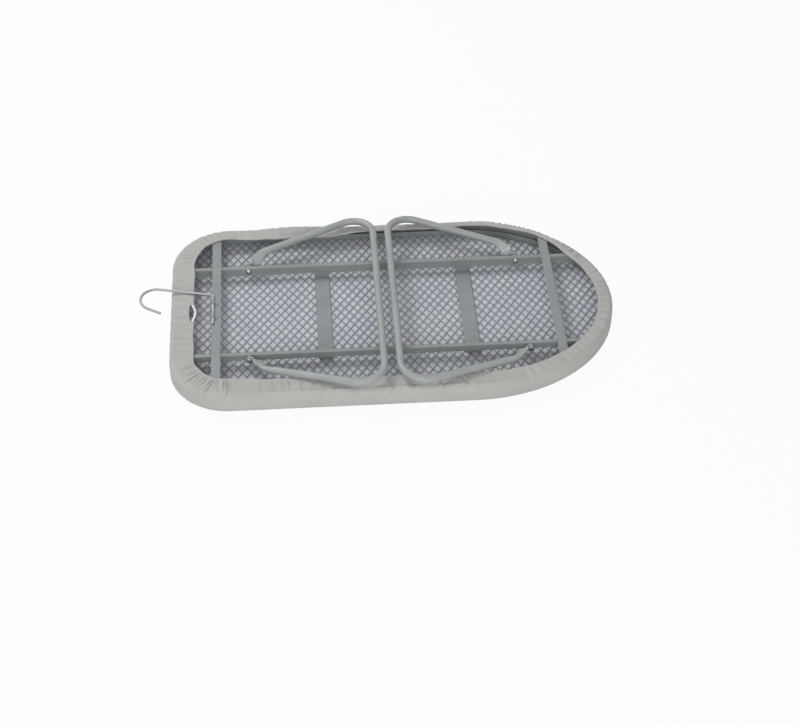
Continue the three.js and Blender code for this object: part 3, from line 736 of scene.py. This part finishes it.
def resting_lines():
    """Points along the middle of the folded legs and of the hook, with the reach of each one's underside."""
    half = np.array(leg_route())
    marks = route_length(half)
    steps = np.arange(0, marks[-1], 2)
    along, across = (np.interp(steps, marks, half[:, axis]) for axis in (0, 1))
    out = along * math.cos(FOLDED_TILT) - TONGUE_RISE * math.sin(FOLDED_TILT)
    up = PIVOT_Z + along * math.sin(FOLDED_TILT) + TONGUE_RISE * math.cos(FOLDED_TILT)
    lines = []
    for end, way in (("tail", 1), ("nose", -1)):
        for side in (1, -1):
            lines.append(np.column_stack([PIVOT_X[end] + way * out, side * across, up]))
    hook = np.array(bent_route(HOOK_START, math.pi / 2, HOOK_MOVES, 1))
    marks = route_length(hook)
    steps = np.arange(0, marks[-1], 1)
    out, across = (np.interp(steps, marks, hook[:, axis]) for axis in (0, 1))
    tilt = hook_tilt()
    wire = np.column_stack([HOOK_X + out * math.cos(tilt), across, HOOK_Z - out * math.sin(tilt)])
    return [(np.concatenate(lines), TUBE_RADIUS + REST_GAP), (wire, WIRE_RADIUS + 0.4 * REST_GAP)]


def pressed(ring):
    """How far each place of a ring has to sink to stay just below the folded legs and the hook."""
    depth = np.zeros(len(ring))
    for line, reach in resting_lines():
        apart = np.hypot(ring[:, None, 0] - line[None, :, 0], ring[:, None, 1] - line[None, :, 1])
        nearest = apart.argmin(1)
        least = apart.min(1)
        close = least < reach
        limit = line[nearest[close], 2] - np.sqrt(reach**2 - least[close] ** 2)
        depth[close] = np.maximum(depth[close], ring[close, 2] - limit)
    return depth


def arc(count, start, end):
    return np.radians(np.linspace(start, end, count))


def fill_mesh(name, rows, loops, uv):
    """A mesh of rows of points round the board, in millimetres, with faces that take their own map."""
    count = rows.shape[1]
    mesh = bpy.data.meshes.new(name)
    mesh.from_pydata((rows.reshape(-1, 3) * MM).tolist(), [], loops)
    mesh.update()
    layer = mesh.uv_layers.new(name="cloth")
    corners = np.array([corner for face in loops for corner in face])
    spans = np.array([face[0] % count > face[2] % count for face in loops for _ in face])
    flat = uv[corners // count, corners % count]
    wrapped = spans & (corners % count == 0)
    flat[wrapped, 0] += uv[0, -1, 0] + uv[0, 1, 0]
    layer.data.foreach_set("uv", flat.astype(np.float32).ravel())
    piece = bpy.data.objects.new(name, mesh)
    bpy.context.scene.collection.objects.link(piece)
    return piece


def band(upper, lower, count, keep=None):
    """Faces between two rows, all the way round or where keep says."""
    faces = []
    for index in range(count):
        after = (index + 1) % count
        if keep is None or keep[index]:
            faces.append((upper * count + index, upper * count + after,
                          lower * count + after, lower * count + index))
    return faces


# The middle line that the faces of cover and pad close on: its share of the length, and how far back it lies
SPINE_SHARE = 0.52
SPINE_BACK = 33


def toward_spine(ring, share):
    """A ring drawn in towards the board's middle line."""
    spine = np.column_stack([ring[:, 0] * SPINE_SHARE - SPINE_BACK, ring[:, 1] * 0, ring[:, 2]])
    return ring * (1 - share) + spine * share


CASING_ROWS = 3


def cover_profile(hem):
    """Rows round the cover from the ironing face to the casing's flap.

    Each has its inset, its height, how far it faces upwards and how far it is crumpled.
    """
    top, turn = HEM_TOP, CASING_HEIGHT / 2
    profile = []
    for angle in arc(7, -90, -180):
        profile.append((PAD_TOP + PAD_TOP * np.cos(angle), PAD_TOP + PAD_TOP * np.sin(angle), 0, 0))
    shoulder = np.minimum(SOFT_SHOULDER, hem.brink - CLEARANCE)
    for share in np.linspace(0, 1, 7)[1:]:
        profile.append((0, PAD_TOP + (top - shoulder - PAD_TOP) * share, 0, 0.3 + 0.7 * share))
    for angle in arc(7, 180, 90)[1:]:
        rise = np.sin(angle)
        height = top - shoulder + shoulder * rise + hem.lift * rise**4
        profile.append((shoulder * (1 + np.cos(angle)), height, rise, 1))
    for share in np.linspace(0, 1, 4)[1:]:
        height = top + hem.lift - hem.brink_drop * share**2
        profile.append((shoulder + (hem.brink - shoulder) * share, height, 1, 1))
    hang = hem.hang
    start = hem.width - CASING_LENGTH
    brink_top = top + hem.lift - hem.brink_drop
    for share in np.linspace(0, 1, 10)[1:]:
        profile.append((hem.brink + (start - hem.brink) * share,
                        brink_top + (hang - brink_top) * (0.6 * share + 0.4 * share**2), 1, 1))
    casing_row = len(profile) - 1
    for share in np.linspace(0, 1, CASING_ROWS + 1)[1:]:
        profile.append((start + (CASING_LENGTH - turn) * share, hang, 1, 1))
    for angle in arc(6, 90, -90)[1:]:
        profile.append((hem.width - turn + turn * np.cos(angle), hang - turn + turn * np.sin(angle), 1, 1))
    profile.append((start, hang - CASING_HEIGHT, 1, 1))
    columns = [np.array([np.broadcast_to(row[column], len(hem.places)) for row in profile], float)
               for column in range(4)]
    return *columns, casing_row


# How far a fold may sink, and how much further in the open part of the near tail corner
FOLD_ROOM = 1.7
CORNER_ROOM = 4.3
CORNER_X = -190
CORNER_Y = -95
CORNER_RAMPS = (15, 10)
FLANGE_RAMP = 3
CLEAR_RAMP = 4
# How far a fold may rise, on the hem and on the casing, and how far the cloth may stand out
FOLD_RISE = 1.6
CASING_RISE = 0.25
OUTWARD_LIMIT = 1.3
# Distances back from the edge: where the casing ends, and the reach of the edge's waves and of the puffs
CASING_BACK = 3
CASING_RAMP = 4
WAVE_REACH = 14
PUFF_RAMP = 12
PUFF_SIDE = 100
COVER_SEED = 21
CLOTH_WALL = 0.45
FACE_SHARES = (1, 0.75, 0.5, 0.25, 0.08)


def room_below(plan, insets):
    """How far the cloth may sink: little, but more in the open part of the near tail corner."""
    corner = ramp(CORNER_X - plan[:, :, 0], CORNER_RAMPS[0]) * ramp(CORNER_Y - plan[:, :, 1], CORNER_RAMPS[1])
    free = ramp(insets - FLANGE_INSET, FLANGE_RAMP) * corner
    for x in STRAP_X:
        free *= ramp(np.abs(plan[:, :, 0] - x) - STRAP_CLEAR, CLEAR_RAMP)
    rail = (RAIL_INNER + RAIL_OUTER) / 2
    free *= ramp(np.abs(np.abs(plan[:, :, 1]) - rail) - RAIL_CLEAR, CLEAR_RAMP)
    return FOLD_ROOM + CORNER_ROOM * free


def make_cover():
    hem = Hem(COVER_STEPS, CROWDS)
    draw = random.Random(COVER_SEED)
    insets, heights, upward, crumpled, casing_row = cover_profile(hem)
    brim = casing_row + CASING_ROWS
    steps = np.hypot(np.diff(insets, axis=0), np.diff(heights, axis=0))
    run = np.vstack([np.zeros(COVER_STEPS), np.cumsum(steps, axis=0)])
    back = np.maximum(0, run[brim][None, :] - run)
    plan = np.array([hem.inset(inset, 0) for inset in insets])
    rise = gathered(hem, gather_marks(hem, draw), back) * crumpled
    rise = np.clip(rise, -room_below(plan, insets), FOLD_RISE)
    cased = ramp(back - CASING_BACK, CASING_RAMP)
    rise = rise * cased + np.clip(rise, -CASING_RISE, CASING_RISE) * (1 - cased)
    rise[brim + 1:] = rise[brim]
    over_casing = np.clip(1 - back / WAVE_REACH, 0, 1) * crumpled
    insets = insets - rise * (1 - upward) * crumpled * 0.5 + (hem.wave - MOUTH_DRAW * hem.mouth) * over_casing
    for middle, half, height, lean in PUFFS:
        bell = np.clip(1 - ((hem.points[:, 0] - middle) / half) ** 2, 0, 1) ** 2
        bell = bell * (hem.points[:, 1] > PUFF_SIDE)
        kept = ramp(back, PUFF_RAMP) * crumpled
        heights = heights + height * bell * kept * upward
        insets = insets - lean * bell * kept
    insets = np.maximum(insets, -OUTWARD_LIMIT)
    heights = heights + rise * upward
    rings = np.array([hem.inset(inset, height) for inset, height in zip(insets, heights)])
    press = np.array([pressed(ring) for ring in rings])
    press[brim + 1:] = press[brim]
    rings[:, :, 2] -= press * (upward > 0)
    under = [toward_spine(rings[0], share) for share in FACE_SHARES]
    rows = np.array([*under, *rings])
    uv = np.zeros((*rows.shape[:2], 2))
    first = len(under)
    uv[:first] = rows[:first, :, :2] * MM
    uv[first:, :, 0] = hem.places * MM
    uv[first:, :, 1] = (run + 5 * PAD_TOP) * MM
    faces = []
    for row in range(len(rows) - 1):
        inside_casing = row >= casing_row + first
        faces += band(row, row + 1, COVER_STEPS, hem.mouth == 0 if inside_casing else None)
    cover = fill_mesh("cover_cloth", rows, faces, uv)
    close_up(cover, 0.01)
    modify(cover, "SOLIDIFY", thickness=CLOTH_WALL * MM, offset=-1)
    round_over(cover, 60)
    return cover


ELASTIC_SECTION = [
    (1.6, 0), (1.35, -0.25), (0, -0.3), (-1.35, -0.25),
    (-1.6, 0), (-1.35, 0.25), (0, 0.3), (1.35, 0.25),
]
ELASTIC_BACK = 2.4
ELASTIC_LIFT = 0.3


def make_elastic():
    """A flat elastic in the casing, which bows out of its mouth at the tail."""
    hem = Hem(ELASTIC_STEPS)
    inset = hem.width + hem.wave - ELASTIC_BACK + ELASTIC_BOW * hem.mouth
    casing_top = hem.inset(hem.width - CASING_HEIGHT / 2 + hem.wave, hem.hang)
    height = hem.hang - CASING_HEIGHT / 2 - pressed(casing_top) + ELASTIC_LIFT * hem.mouth
    piece = hoop("hem_elastic_braid", ELASTIC_SECTION, hem.inset(inset, height))
    round_over(piece, 60)
    return piece


PAD_EDGE = 3
PAD_DIMPLE = 0.25


def make_pad():
    """A felt pad, rounded under at its edge and a little uneven on top."""
    hem = Hem(PAD_STEPS)
    depth = PAD_TOP - PAD_BOTTOM
    lower = []
    for angle in arc(6, -90, -175):
        lower.append(hem.inset(PAD_TOP + depth * math.cos(angle), PAD_TOP + depth * math.sin(angle)))
    rim = hem.inset(PAD_EDGE, PAD_TOP)
    upper = [hem.inset(PAD_BOTTOM + 0.6, PAD_TOP - 0.1), rim]
    inner = [toward_spine(rim, share) for share in np.linspace(0, 1, 26)[1:]]
    for ring in inner:
        ring[:, 2] -= PAD_DIMPLE * (1 + np.sin(ring[:, 0] / 17) * np.cos(ring[:, 1] / 13)) / 2
    under = [toward_spine(lower[0], share) for share in (1, 0.66, 0.33)]
    rows = np.array([*under, *lower, *upper, *inner])
    faces = []
    for row in range(len(rows) - 1):
        faces += band(row, row + 1, PAD_STEPS)
    pad = fill_mesh("pad_felt", rows, faces, rows[:, :, :2] * MM)
    close_up(pad, 0.02)
    round_over(pad, 50)
    return pad


# Expanded mesh
MESH_PITCH = (11.7, 17.6)
MESH_STRAND = 1.5
MESH_TILT = 0.3
MESH_INSET = 1.8


def choose_faces(piece, test):
    """Selects the faces whose normal passes the test."""
    bpy.ops.mesh.select_mode(type="FACE")
    shape = bmesh.from_edit_mesh(piece.data)
    for face in shape.faces:
        face.select_set(bool(test(face.normal)))
    shape.select_flush_mode()
    bmesh.update_edit_mesh(piece.data)


def set_in_rows(piece, axis, step, count):
    apart = metres(*(step if index == axis else 0 for index in range(3)))
    modify(piece, "ARRAY", count=count, use_relative_offset=False, use_constant_offset=True,
           constant_offset_displace=apart)


def mesh_diamond():
    """One opening with half of each strand round it. The strands lean, as a slit and drawn sheet's do."""
    wide, long = MESH_PITCH[0] / 2, MESH_PITCH[1] / 2
    thick = MESH_TOP - MESH_BOTTOM - 2 * MESH_TILT
    put_away()
    bpy.ops.mesh.primitive_circle_add(vertices=4, radius=MM, fill_type="NGON")
    piece = bpy.context.object
    piece.name = "mesh_expanded"
    work_on(piece)
    take_all()
    resize(wide, long, 1, (0, 0, 0))
    shift(0, 0, MESH_BOTTOM + MESH_TILT)
    pull(0, 0, thick)
    take_all()
    bpy.ops.mesh.normals_make_consistent(inside=False)
    choose_faces(piece, lambda normal: abs(normal.z) > 0.9)
    bpy.ops.mesh.inset(thickness=MESH_STRAND / 2 * MM, use_even_offset=True)
    bpy.ops.mesh.bridge_edge_loops()
    bpy.ops.mesh.select_mode(type="VERT")
    for side in (1, -1):
        choose(piece, lambda place: 0.1 < side * place.x < wide - 0.1 and abs(place.y) < 0.1)
        shift(0, 0, side * MESH_TILT)
    take_all()
    bpy.ops.mesh.duplicate_move(TRANSFORM_OT_translate={"value": metres(wide, long, 0)})
    take_all()
    bpy.ops.mesh.normals_make_consistent(inside=False)
    return piece


def make_mesh():
    """Rows of diamonds, drawn in along the outline under the rim and joined."""
    piece = mesh_diamond()
    columns = math.ceil(BOARD_LENGTH / MESH_PITCH[0]) + 2
    lines = math.ceil(BOARD_WIDTH / MESH_PITCH[1]) + 2
    work_on(piece)
    take_all()
    shift(-columns * MESH_PITCH[0] / 2, -lines * MESH_PITCH[1] / 2, 0)
    put_away()
    set_in_rows(piece, 0, MESH_PITCH[0], columns)
    set_in_rows(piece, 1, MESH_PITCH[1], lines)
    points, inward, _, _ = board_outline(MESH_STEPS)
    places = np.array([vertex.co for vertex in piece.data.vertices]) / MM
    nearest = np.array([np.argmin(((points - place) ** 2).sum(1)) for place in places[:, :2]])
    inset = ((places[:, :2] - points[nearest]) * inward[nearest]).sum(1)
    drawn_in = np.maximum(0, MESH_INSET - inset)
    work_on(piece)
    shape = bmesh.from_edit_mesh(piece.data)
    shape.verts.ensure_lookup_table()
    for vertex in shape.verts:
        vertex.select_set(bool(inset[vertex.index] > MESH_INSET))
    shape.select_flush(True)
    bmesh.update_edit_mesh(piece.data)
    bpy.ops.mesh.select_linked()
    bpy.ops.mesh.select_all(action="INVERT")
    shape = bmesh.from_edit_mesh(piece.data)
    shape.verts.ensure_lookup_table()
    for vertex in shape.verts:
        if drawn_in[vertex.index] > 0:
            vertex.co.xy += Vector(inward[nearest[vertex.index]] * drawn_in[vertex.index] * MM)
    bmesh.update_edit_mesh(piece.data)
    bpy.ops.mesh.delete(type="VERT")
    take_all()
    bpy.ops.mesh.remove_doubles(threshold=0.01 * MM)
    bpy.ops.mesh.select_mode(type="FACE")
    bpy.ops.mesh.select_all(action="DESELECT")
    bpy.ops.mesh.select_interior_faces()
    bpy.ops.mesh.delete(type="FACE")
    put_away()
    return piece


# Steel parts
SHEET_EASE = 0.4
CLIP_EASE = 0.15
RAIL_WALL_CLEAR = 1.5
TUBE_SIDES = 28
WIRE_SIDES = 18
# Share of the tube's radius from which the jaws press, and the steps in which the tip is rounded and pinched
JAW_SHARE = 0.45
TIP_SHARES = (0.35, 0.6, 0.8, 0.93, 0.99)
PINCH_FROM = 0.9
TIP_PINCH = 0.8
# Cut ends of the wire: distance from the end and share of the radius
WIRE_ENDS = ((0, 0.6), (0.25, 0.86), (0.7, 1))


def soften(piece, ease):
    """Rounds the edges and bends of a piece of sheet steel, and lets its large faces shade flat."""
    modify(piece, "BEVEL", width=ease * MM, segments=2, limit_method="ANGLE",
           angle_limit=math.radians(30), use_clamp_overlap=True)
    round_over(piece)
    modify(piece, "WEIGHTED_NORMAL", keep_sharp=True)
    put_away()
    return piece


def make_rim():
    """A rolled channel round the board, open to the inside, with a lip turned up along its lower flange."""
    points, _, _, _ = board_outline(RIM_STEPS)
    lower = RIM_INSET + RIM_LOWER_FLANGE
    bend = RIM_INSET + RIM_CORNER
    wall = RIM_INSET + RIM_WALL
    section = [
        (lower, RIM_BOTTOM),
        (bend, RIM_BOTTOM),
        (RIM_INSET, RIM_BOTTOM + RIM_CORNER),
        (RIM_INSET, RIM_TOP - RIM_CORNER),
        (bend, RIM_TOP),
        (FLANGE_INSET, RIM_TOP),
        (FLANGE_INSET, RIM_TOP - RIM_WALL),
        (bend, RIM_TOP - RIM_WALL),
        (wall, RIM_TOP - RIM_CORNER),
        (wall, RIM_BOTTOM + RIM_CORNER),
        (bend, RIM_BOTTOM + RIM_WALL),
        (lower - RIM_WALL, RIM_BOTTOM + RIM_WALL),
        (lower - RIM_WALL, RIM_BOTTOM + RIM_LIP),
        (lower, RIM_BOTTOM + RIM_LIP),
    ]
    piece = hoop("rim_rolled", section, [(x, y, 0) for x, y in points])
    return soften(piece, SHEET_EASE)


def steel_copy(node):
    """A copy of a pressed or folded piece in edit mode, with its flat faces whole."""
    piece = bpy.data.objects.new(f"{node}_steel", frame["nodes"][node].data.copy())
    bpy.context.scene.collection.objects.link(piece)
    work_on(piece)
    take_all()
    bpy.ops.mesh.remove_doubles(threshold=0.001 * MM)
    bpy.ops.mesh.dissolve_limited(angle_limit=math.radians(1))
    return piece


def eased_copy(node, ease):
    piece = steel_copy(node)
    put_away()
    return soften(piece, ease)


def flared_rail(node):
    """A rail whose lip is bent down a little towards its edge, so that it catches the light."""
    piece = steel_copy(node)
    lip_top = RIM_TOP - RAIL_HEIGHT + RAIL_WALL_CLEAR
    for out, drop in ((RAIL_LIP, LIP_FLARE), (TIE_SLOT, LIP_FLARE * TIE_SLOT / RAIL_LIP)):
        choose(piece, lambda place: abs(abs(place.y) - RAIL_INNER + out) < 0.1 and place.z < lip_top)
        shift(0, 0, -drop)
    put_away()
    return soften(piece, SHEET_EASE)


def squeeze_ring(piece, x):
    """Presses the ring of a tube at x flat between two jaws, and lets it spread in height."""
    jaw = TONGUE_THICKNESS / 2
    here = lambda place: abs(place.x - x) < 0.01
    choose(piece, lambda place: here(place) and abs(place.y) < JAW_SHARE * TUBE_RADIUS)
    resize(1, 2 * jaw / TUBE_RADIUS, 1, (x, 0, 0))
    for side in (1, -1):
        choose(piece, lambda place: here(place) and side * place.y > JAW_SHARE * TUBE_RADIUS)
        resize(1, 0, 1, (x, side * jaw, 0))
    choose(piece, here)
    resize(1, 1, TONGUE_HEIGHT / 2 / TUBE_RADIUS, (x, 0, 0))


def leg_route():
    """Half of a leg in plan, from the tongue's tip to the middle of the foot bar."""
    splay_x = TONGUE_STRAIGHT + TONGUE_BEND_RADIUS * math.sin(TONGUE_SPLAY)
    splay_y = TONGUE_MIDDLE + TONGUE_BEND_RADIUS * (1 - math.cos(TONGUE_SPLAY))
    turn = TONGUE_SPLAY - ARM_SLOPE
    trim = ARM_BEND_RADIUS * math.tan(turn / 2)
    run_x, run_y = ARM_END[0] - splay_x, ARM_END[1] - splay_y
    splay_run = run_y * math.cos(ARM_SLOPE) - run_x * math.sin(ARM_SLOPE)
    slope_run = run_x * math.sin(TONGUE_SPLAY) - run_y * math.cos(TONGUE_SPLAY)
    return bent_route((-TONGUE_END, TONGUE_MIDDLE), 0, [
        (TONGUE_END + TONGUE_STRAIGHT,),
        (TONGUE_SPLAY, TONGUE_BEND_RADIUS),
        (splay_run / math.sin(turn) - trim,),
        (-turn, ARM_BEND_RADIUS),
        (slope_run / math.sin(turn) - trim,),
        (-math.pi / 2 - ARM_SLOPE, FOOT_BEND_RADIUS),
        (FOOT_HALF - FOOT_BEND_RADIUS,),
    ], 2.5)


def leaning(from_pivot):
    """From 0 at the pivot, where the flattened end stands upright, to 1 at the arm, where it leans over."""
    share = min(max((from_pivot - TONGUE_STRAIGHT) / TWIST_LENGTH, 0), 1)
    return share * share * (3 - 2 * share)


def lean_over(leg, rings):
    """Turns and lifts the flattened end ring by ring, and the rest of the tube with the last."""
    for x in rings:
        share = leaning(x - TONGUE_END)
        last = x == rings[-1]
        choose(leg, lambda place: abs(place.x - x) < 0.01 or (last and place.x > x))
        tall = TONGUE_HEIGHT if last else TONGUE_EYE + (TONGUE_HEIGHT - TONGUE_EYE) * share
        resize(1, 1, tall / TONGUE_HEIGHT, (0, 0, 0))
        bpy.ops.transform.rotate(value=TONGUE_TWIST * share, orient_axis="X", orient_type="GLOBAL",
                                 center_override=(0, 0, 0))
        shift(0, 0, TONGUE_RISE * share)


def tube_ring(x):
    bpy.ops.mesh.primitive_circle_add(vertices=TUBE_SIDES, radius=TUBE_RADIUS * MM,
                                      rotation=(0, math.pi / 2, 0), location=metres(x, 0, 0))


def make_leg(end, turn):
    """A tube pressed flat at its end, leant over, bent along half of the leg and mirrored."""
    route = leg_route()
    marks = route_length(route)
    flat, round_from = TONGUE_END + FLATTEN_START, TONGUE_END + FLATTEN_END
    put_away()
    tube_ring(round_from)
    leg = bpy.context.object
    leg.name = f"{end}_leg_tube"
    settle()
    work_on(leg)
    take_all()
    place = round_from
    for mark in marks[marks > round_from + 1]:
        pull(mark - place, 0, 0)
        place = mark
    tube_ring(flat)
    squeeze_ring(leg, flat)
    place = flat
    rings = [flat]
    for mark in np.linspace(flat, TONGUE_END, 14)[1:]:
        pull(mark - place, 0, 0)
        place = mark
        rings.append(mark)
    height = 1
    for share in TIP_SHARES:
        pull(TONGUE_END * (1 - share) - place, 0, 0)
        place = TONGUE_END * (1 - share)
        rings.append(place)
        lower = math.sqrt(1 - share**2)
        resize(1, 1 if share < PINCH_FROM else TIP_PINCH, lower / height, (place, 0, 0))
        height = lower
    bpy.ops.mesh.edge_face_add()
    bpy.ops.mesh.select_all(action="DESELECT")
    choose(leg, lambda place: abs(place.x - flat) < 0.01 or abs(place.x - round_from) < 0.01)
    bpy.ops.mesh.bridge_edge_loops(number_cuts=14, interpolation="LINEAR")
    lean_over(leg, sorted(rings))
    put_away()
    bend_along(leg, route)
    modify(leg, "MIRROR", use_axis=(False, True, False), use_clip=True, merge_threshold=0.02 * MM)
    leg.rotation_euler = (0, -FOLDED_TILT, turn)
    leg.location = metres(PIVOT_X[end], 0, PIVOT_Z)
    settle()
    close_up(leg)
    round_over(leg, 50)
    return leg


def hook_tilt():
    """How far the wire rises from its clips to where it rests on the hem."""
    rise = HEM_TOP + REST_GAP + WIRE_RADIUS - HOOK_Z
    return math.atan2(rise, HOOK_X - TAIL_X - HOOK_REST)


def make_hook():
    """A wire with a straight pivot length, a shank and an open bend, with its ends cut and eased."""
    route = bent_route(HOOK_START, math.pi / 2, HOOK_MOVES, 1)
    marks = route_length(route)
    put_away()
    bpy.ops.mesh.primitive_circle_add(vertices=WIRE_SIDES, radius=WIRE_ENDS[0][1] * WIRE_RADIUS * MM,
                                      rotation=(0, math.pi / 2, 0), fill_type="NGON")
    hook = bpy.context.object
    hook.name = "hanging_hook_wire"
    settle()
    work_on(hook)
    take_all()
    place = 0
    for (_, before), (mark, after) in zip(WIRE_ENDS, WIRE_ENDS[1:]):
        pull(mark - place, 0, 0)
        place = mark
        resize(1, after / before, after / before, (place, 0, 0))
    for mark in marks[(marks > 1) & (marks < marks[-1] - 1)]:
        pull(mark - place, 0, 0)
        place = mark
    before = 1
    for back, after in WIRE_ENDS[::-1]:
        pull(marks[-1] - back - place, 0, 0)
        place = marks[-1] - back
        resize(1, after / before, after / before, (place, 0, 0))
        before = after
    put_away()
    bend_along(hook, route)
    take_up(hook)
    hook.rotation_euler = (0, hook_tilt(), 0)
    hook.location = metres(HOOK_X, 0, HOOK_Z)
    settle()
    close_up(hook)
    round_over(hook, 50)
    return hook


# Outlines of the turned pieces: radius and distance from the board's middle line
RIVET_OUTLINE = [
    (0, 82.7), (1.2, 82.75), (2.3, 83.15), (3.1, 84.0), (3.45, 85.0), (3.5, 86.5), (3.3, 86.7), (2, 86.7),
    (2, 100.3), (3.4, 100.3), (3.5, 100.5), (3.3, 101.1), (2.6, 101.6), (0, 101.7),
]
COLLAR_OUTLINE = [
    (2.3, 93.6), (2.6, 93.3), (3.6, 93.3), (4, 93.7), (4, 96.9),
    (3.6, 97.3), (2.6, 97.3), (2.3, 97.0), (2.3, 93.6),
]


photo_camera()
white_surroundings()
pale_floor()
soft_box("key_light", (-0.85, 0.8, 1.4), (0, 0, 0), 0.7, 11.5)
soft_box("front_light", (-0.2, -2.0, 1.1), (0, 0, 0), 1.6, 24)
bpy.context.scene.view_settings.view_transform = "Standard"
cotton = woven_cotton()
paint = grey_paint("frame_paint", srgb(134, 139, 139), srgb(144, 149, 149), 0.3, 0.42)
# The legs have the same paint as the frame. This lighter copy is painted light: it stands in for the brighter
# highlights that the round tubes catch.
lit_tube_paint = grey_paint("lit_tube_paint", srgb(152, 157, 155), srgb(162, 167, 165), 0.28, 0.4)
mesh_paint = grey_paint("mesh_paint", srgb(138, 144, 151), srgb(150, 156, 163), 0.36, 0.5)
plating = bright_metal("bright_plating", srgb(150, 152, 152), srgb(172, 173, 172), 0.22, 0.34)
wire_plating = bright_metal("dull_wire", srgb(150, 152, 151), srgb(166, 168, 167), 0.5, 0.6)

cover = hand_over(make_cover(), cotton, "cover_cloth", "board", "cover")
elastic = hand_over(make_elastic(), braided_elastic(), "elastic", "board", "hem_elastic")
pad = hand_over(make_pad(), pale_felt(), "pad_felt", "board", "pad")
hand_over(make_mesh(), mesh_paint, "mesh_paint", "board", "mesh_top")
hand_over(make_rim(), paint, "frame_paint", "board", "rim_channel")
for node in ("rail_far", "rail_near"):
    hand_over(flared_rail(node), paint, "frame_paint", "board", node)
for node in ("tail_strap", "nose_strap", "tail_tie", "nose_tie"):
    hand_over(eased_copy(node, SHEET_EASE), paint, "frame_paint", "board", node)
for node in ("hook_clip_far", "hook_clip_near"):
    hand_over(eased_copy(node, CLIP_EASE), paint, "frame_paint", "board", node)
for end, turn in (("tail", 0), ("nose", math.pi)):
    hand_over(make_leg(end, turn), lit_tube_paint, "frame_paint", f"{end}_leg", f"{end}_leg")
    for side_name, side in (("far", 1), ("near", -1)):
        pivot = (PIVOT_X[end], 0, PIVOT_Z)
        rivet = turned(f"{end}_rivet_{side_name}_turned", RIVET_OUTLINE, pivot, side)
        round_over(rivet)
        hand_over(rivet, plating, "plated_steel", "board", f"{end}_rivet_{side_name}")
        collar = turned(f"{end}_collar_{side_name}_turned", COLLAR_OUTLINE, pivot, side)
        round_over(collar)
        hand_over(collar, paint, "frame_paint", "board", f"{end}_collar_{side_name}")
hand_over(make_hook(), wire_plating, "hook_wire", "hook", "hanging_hook")
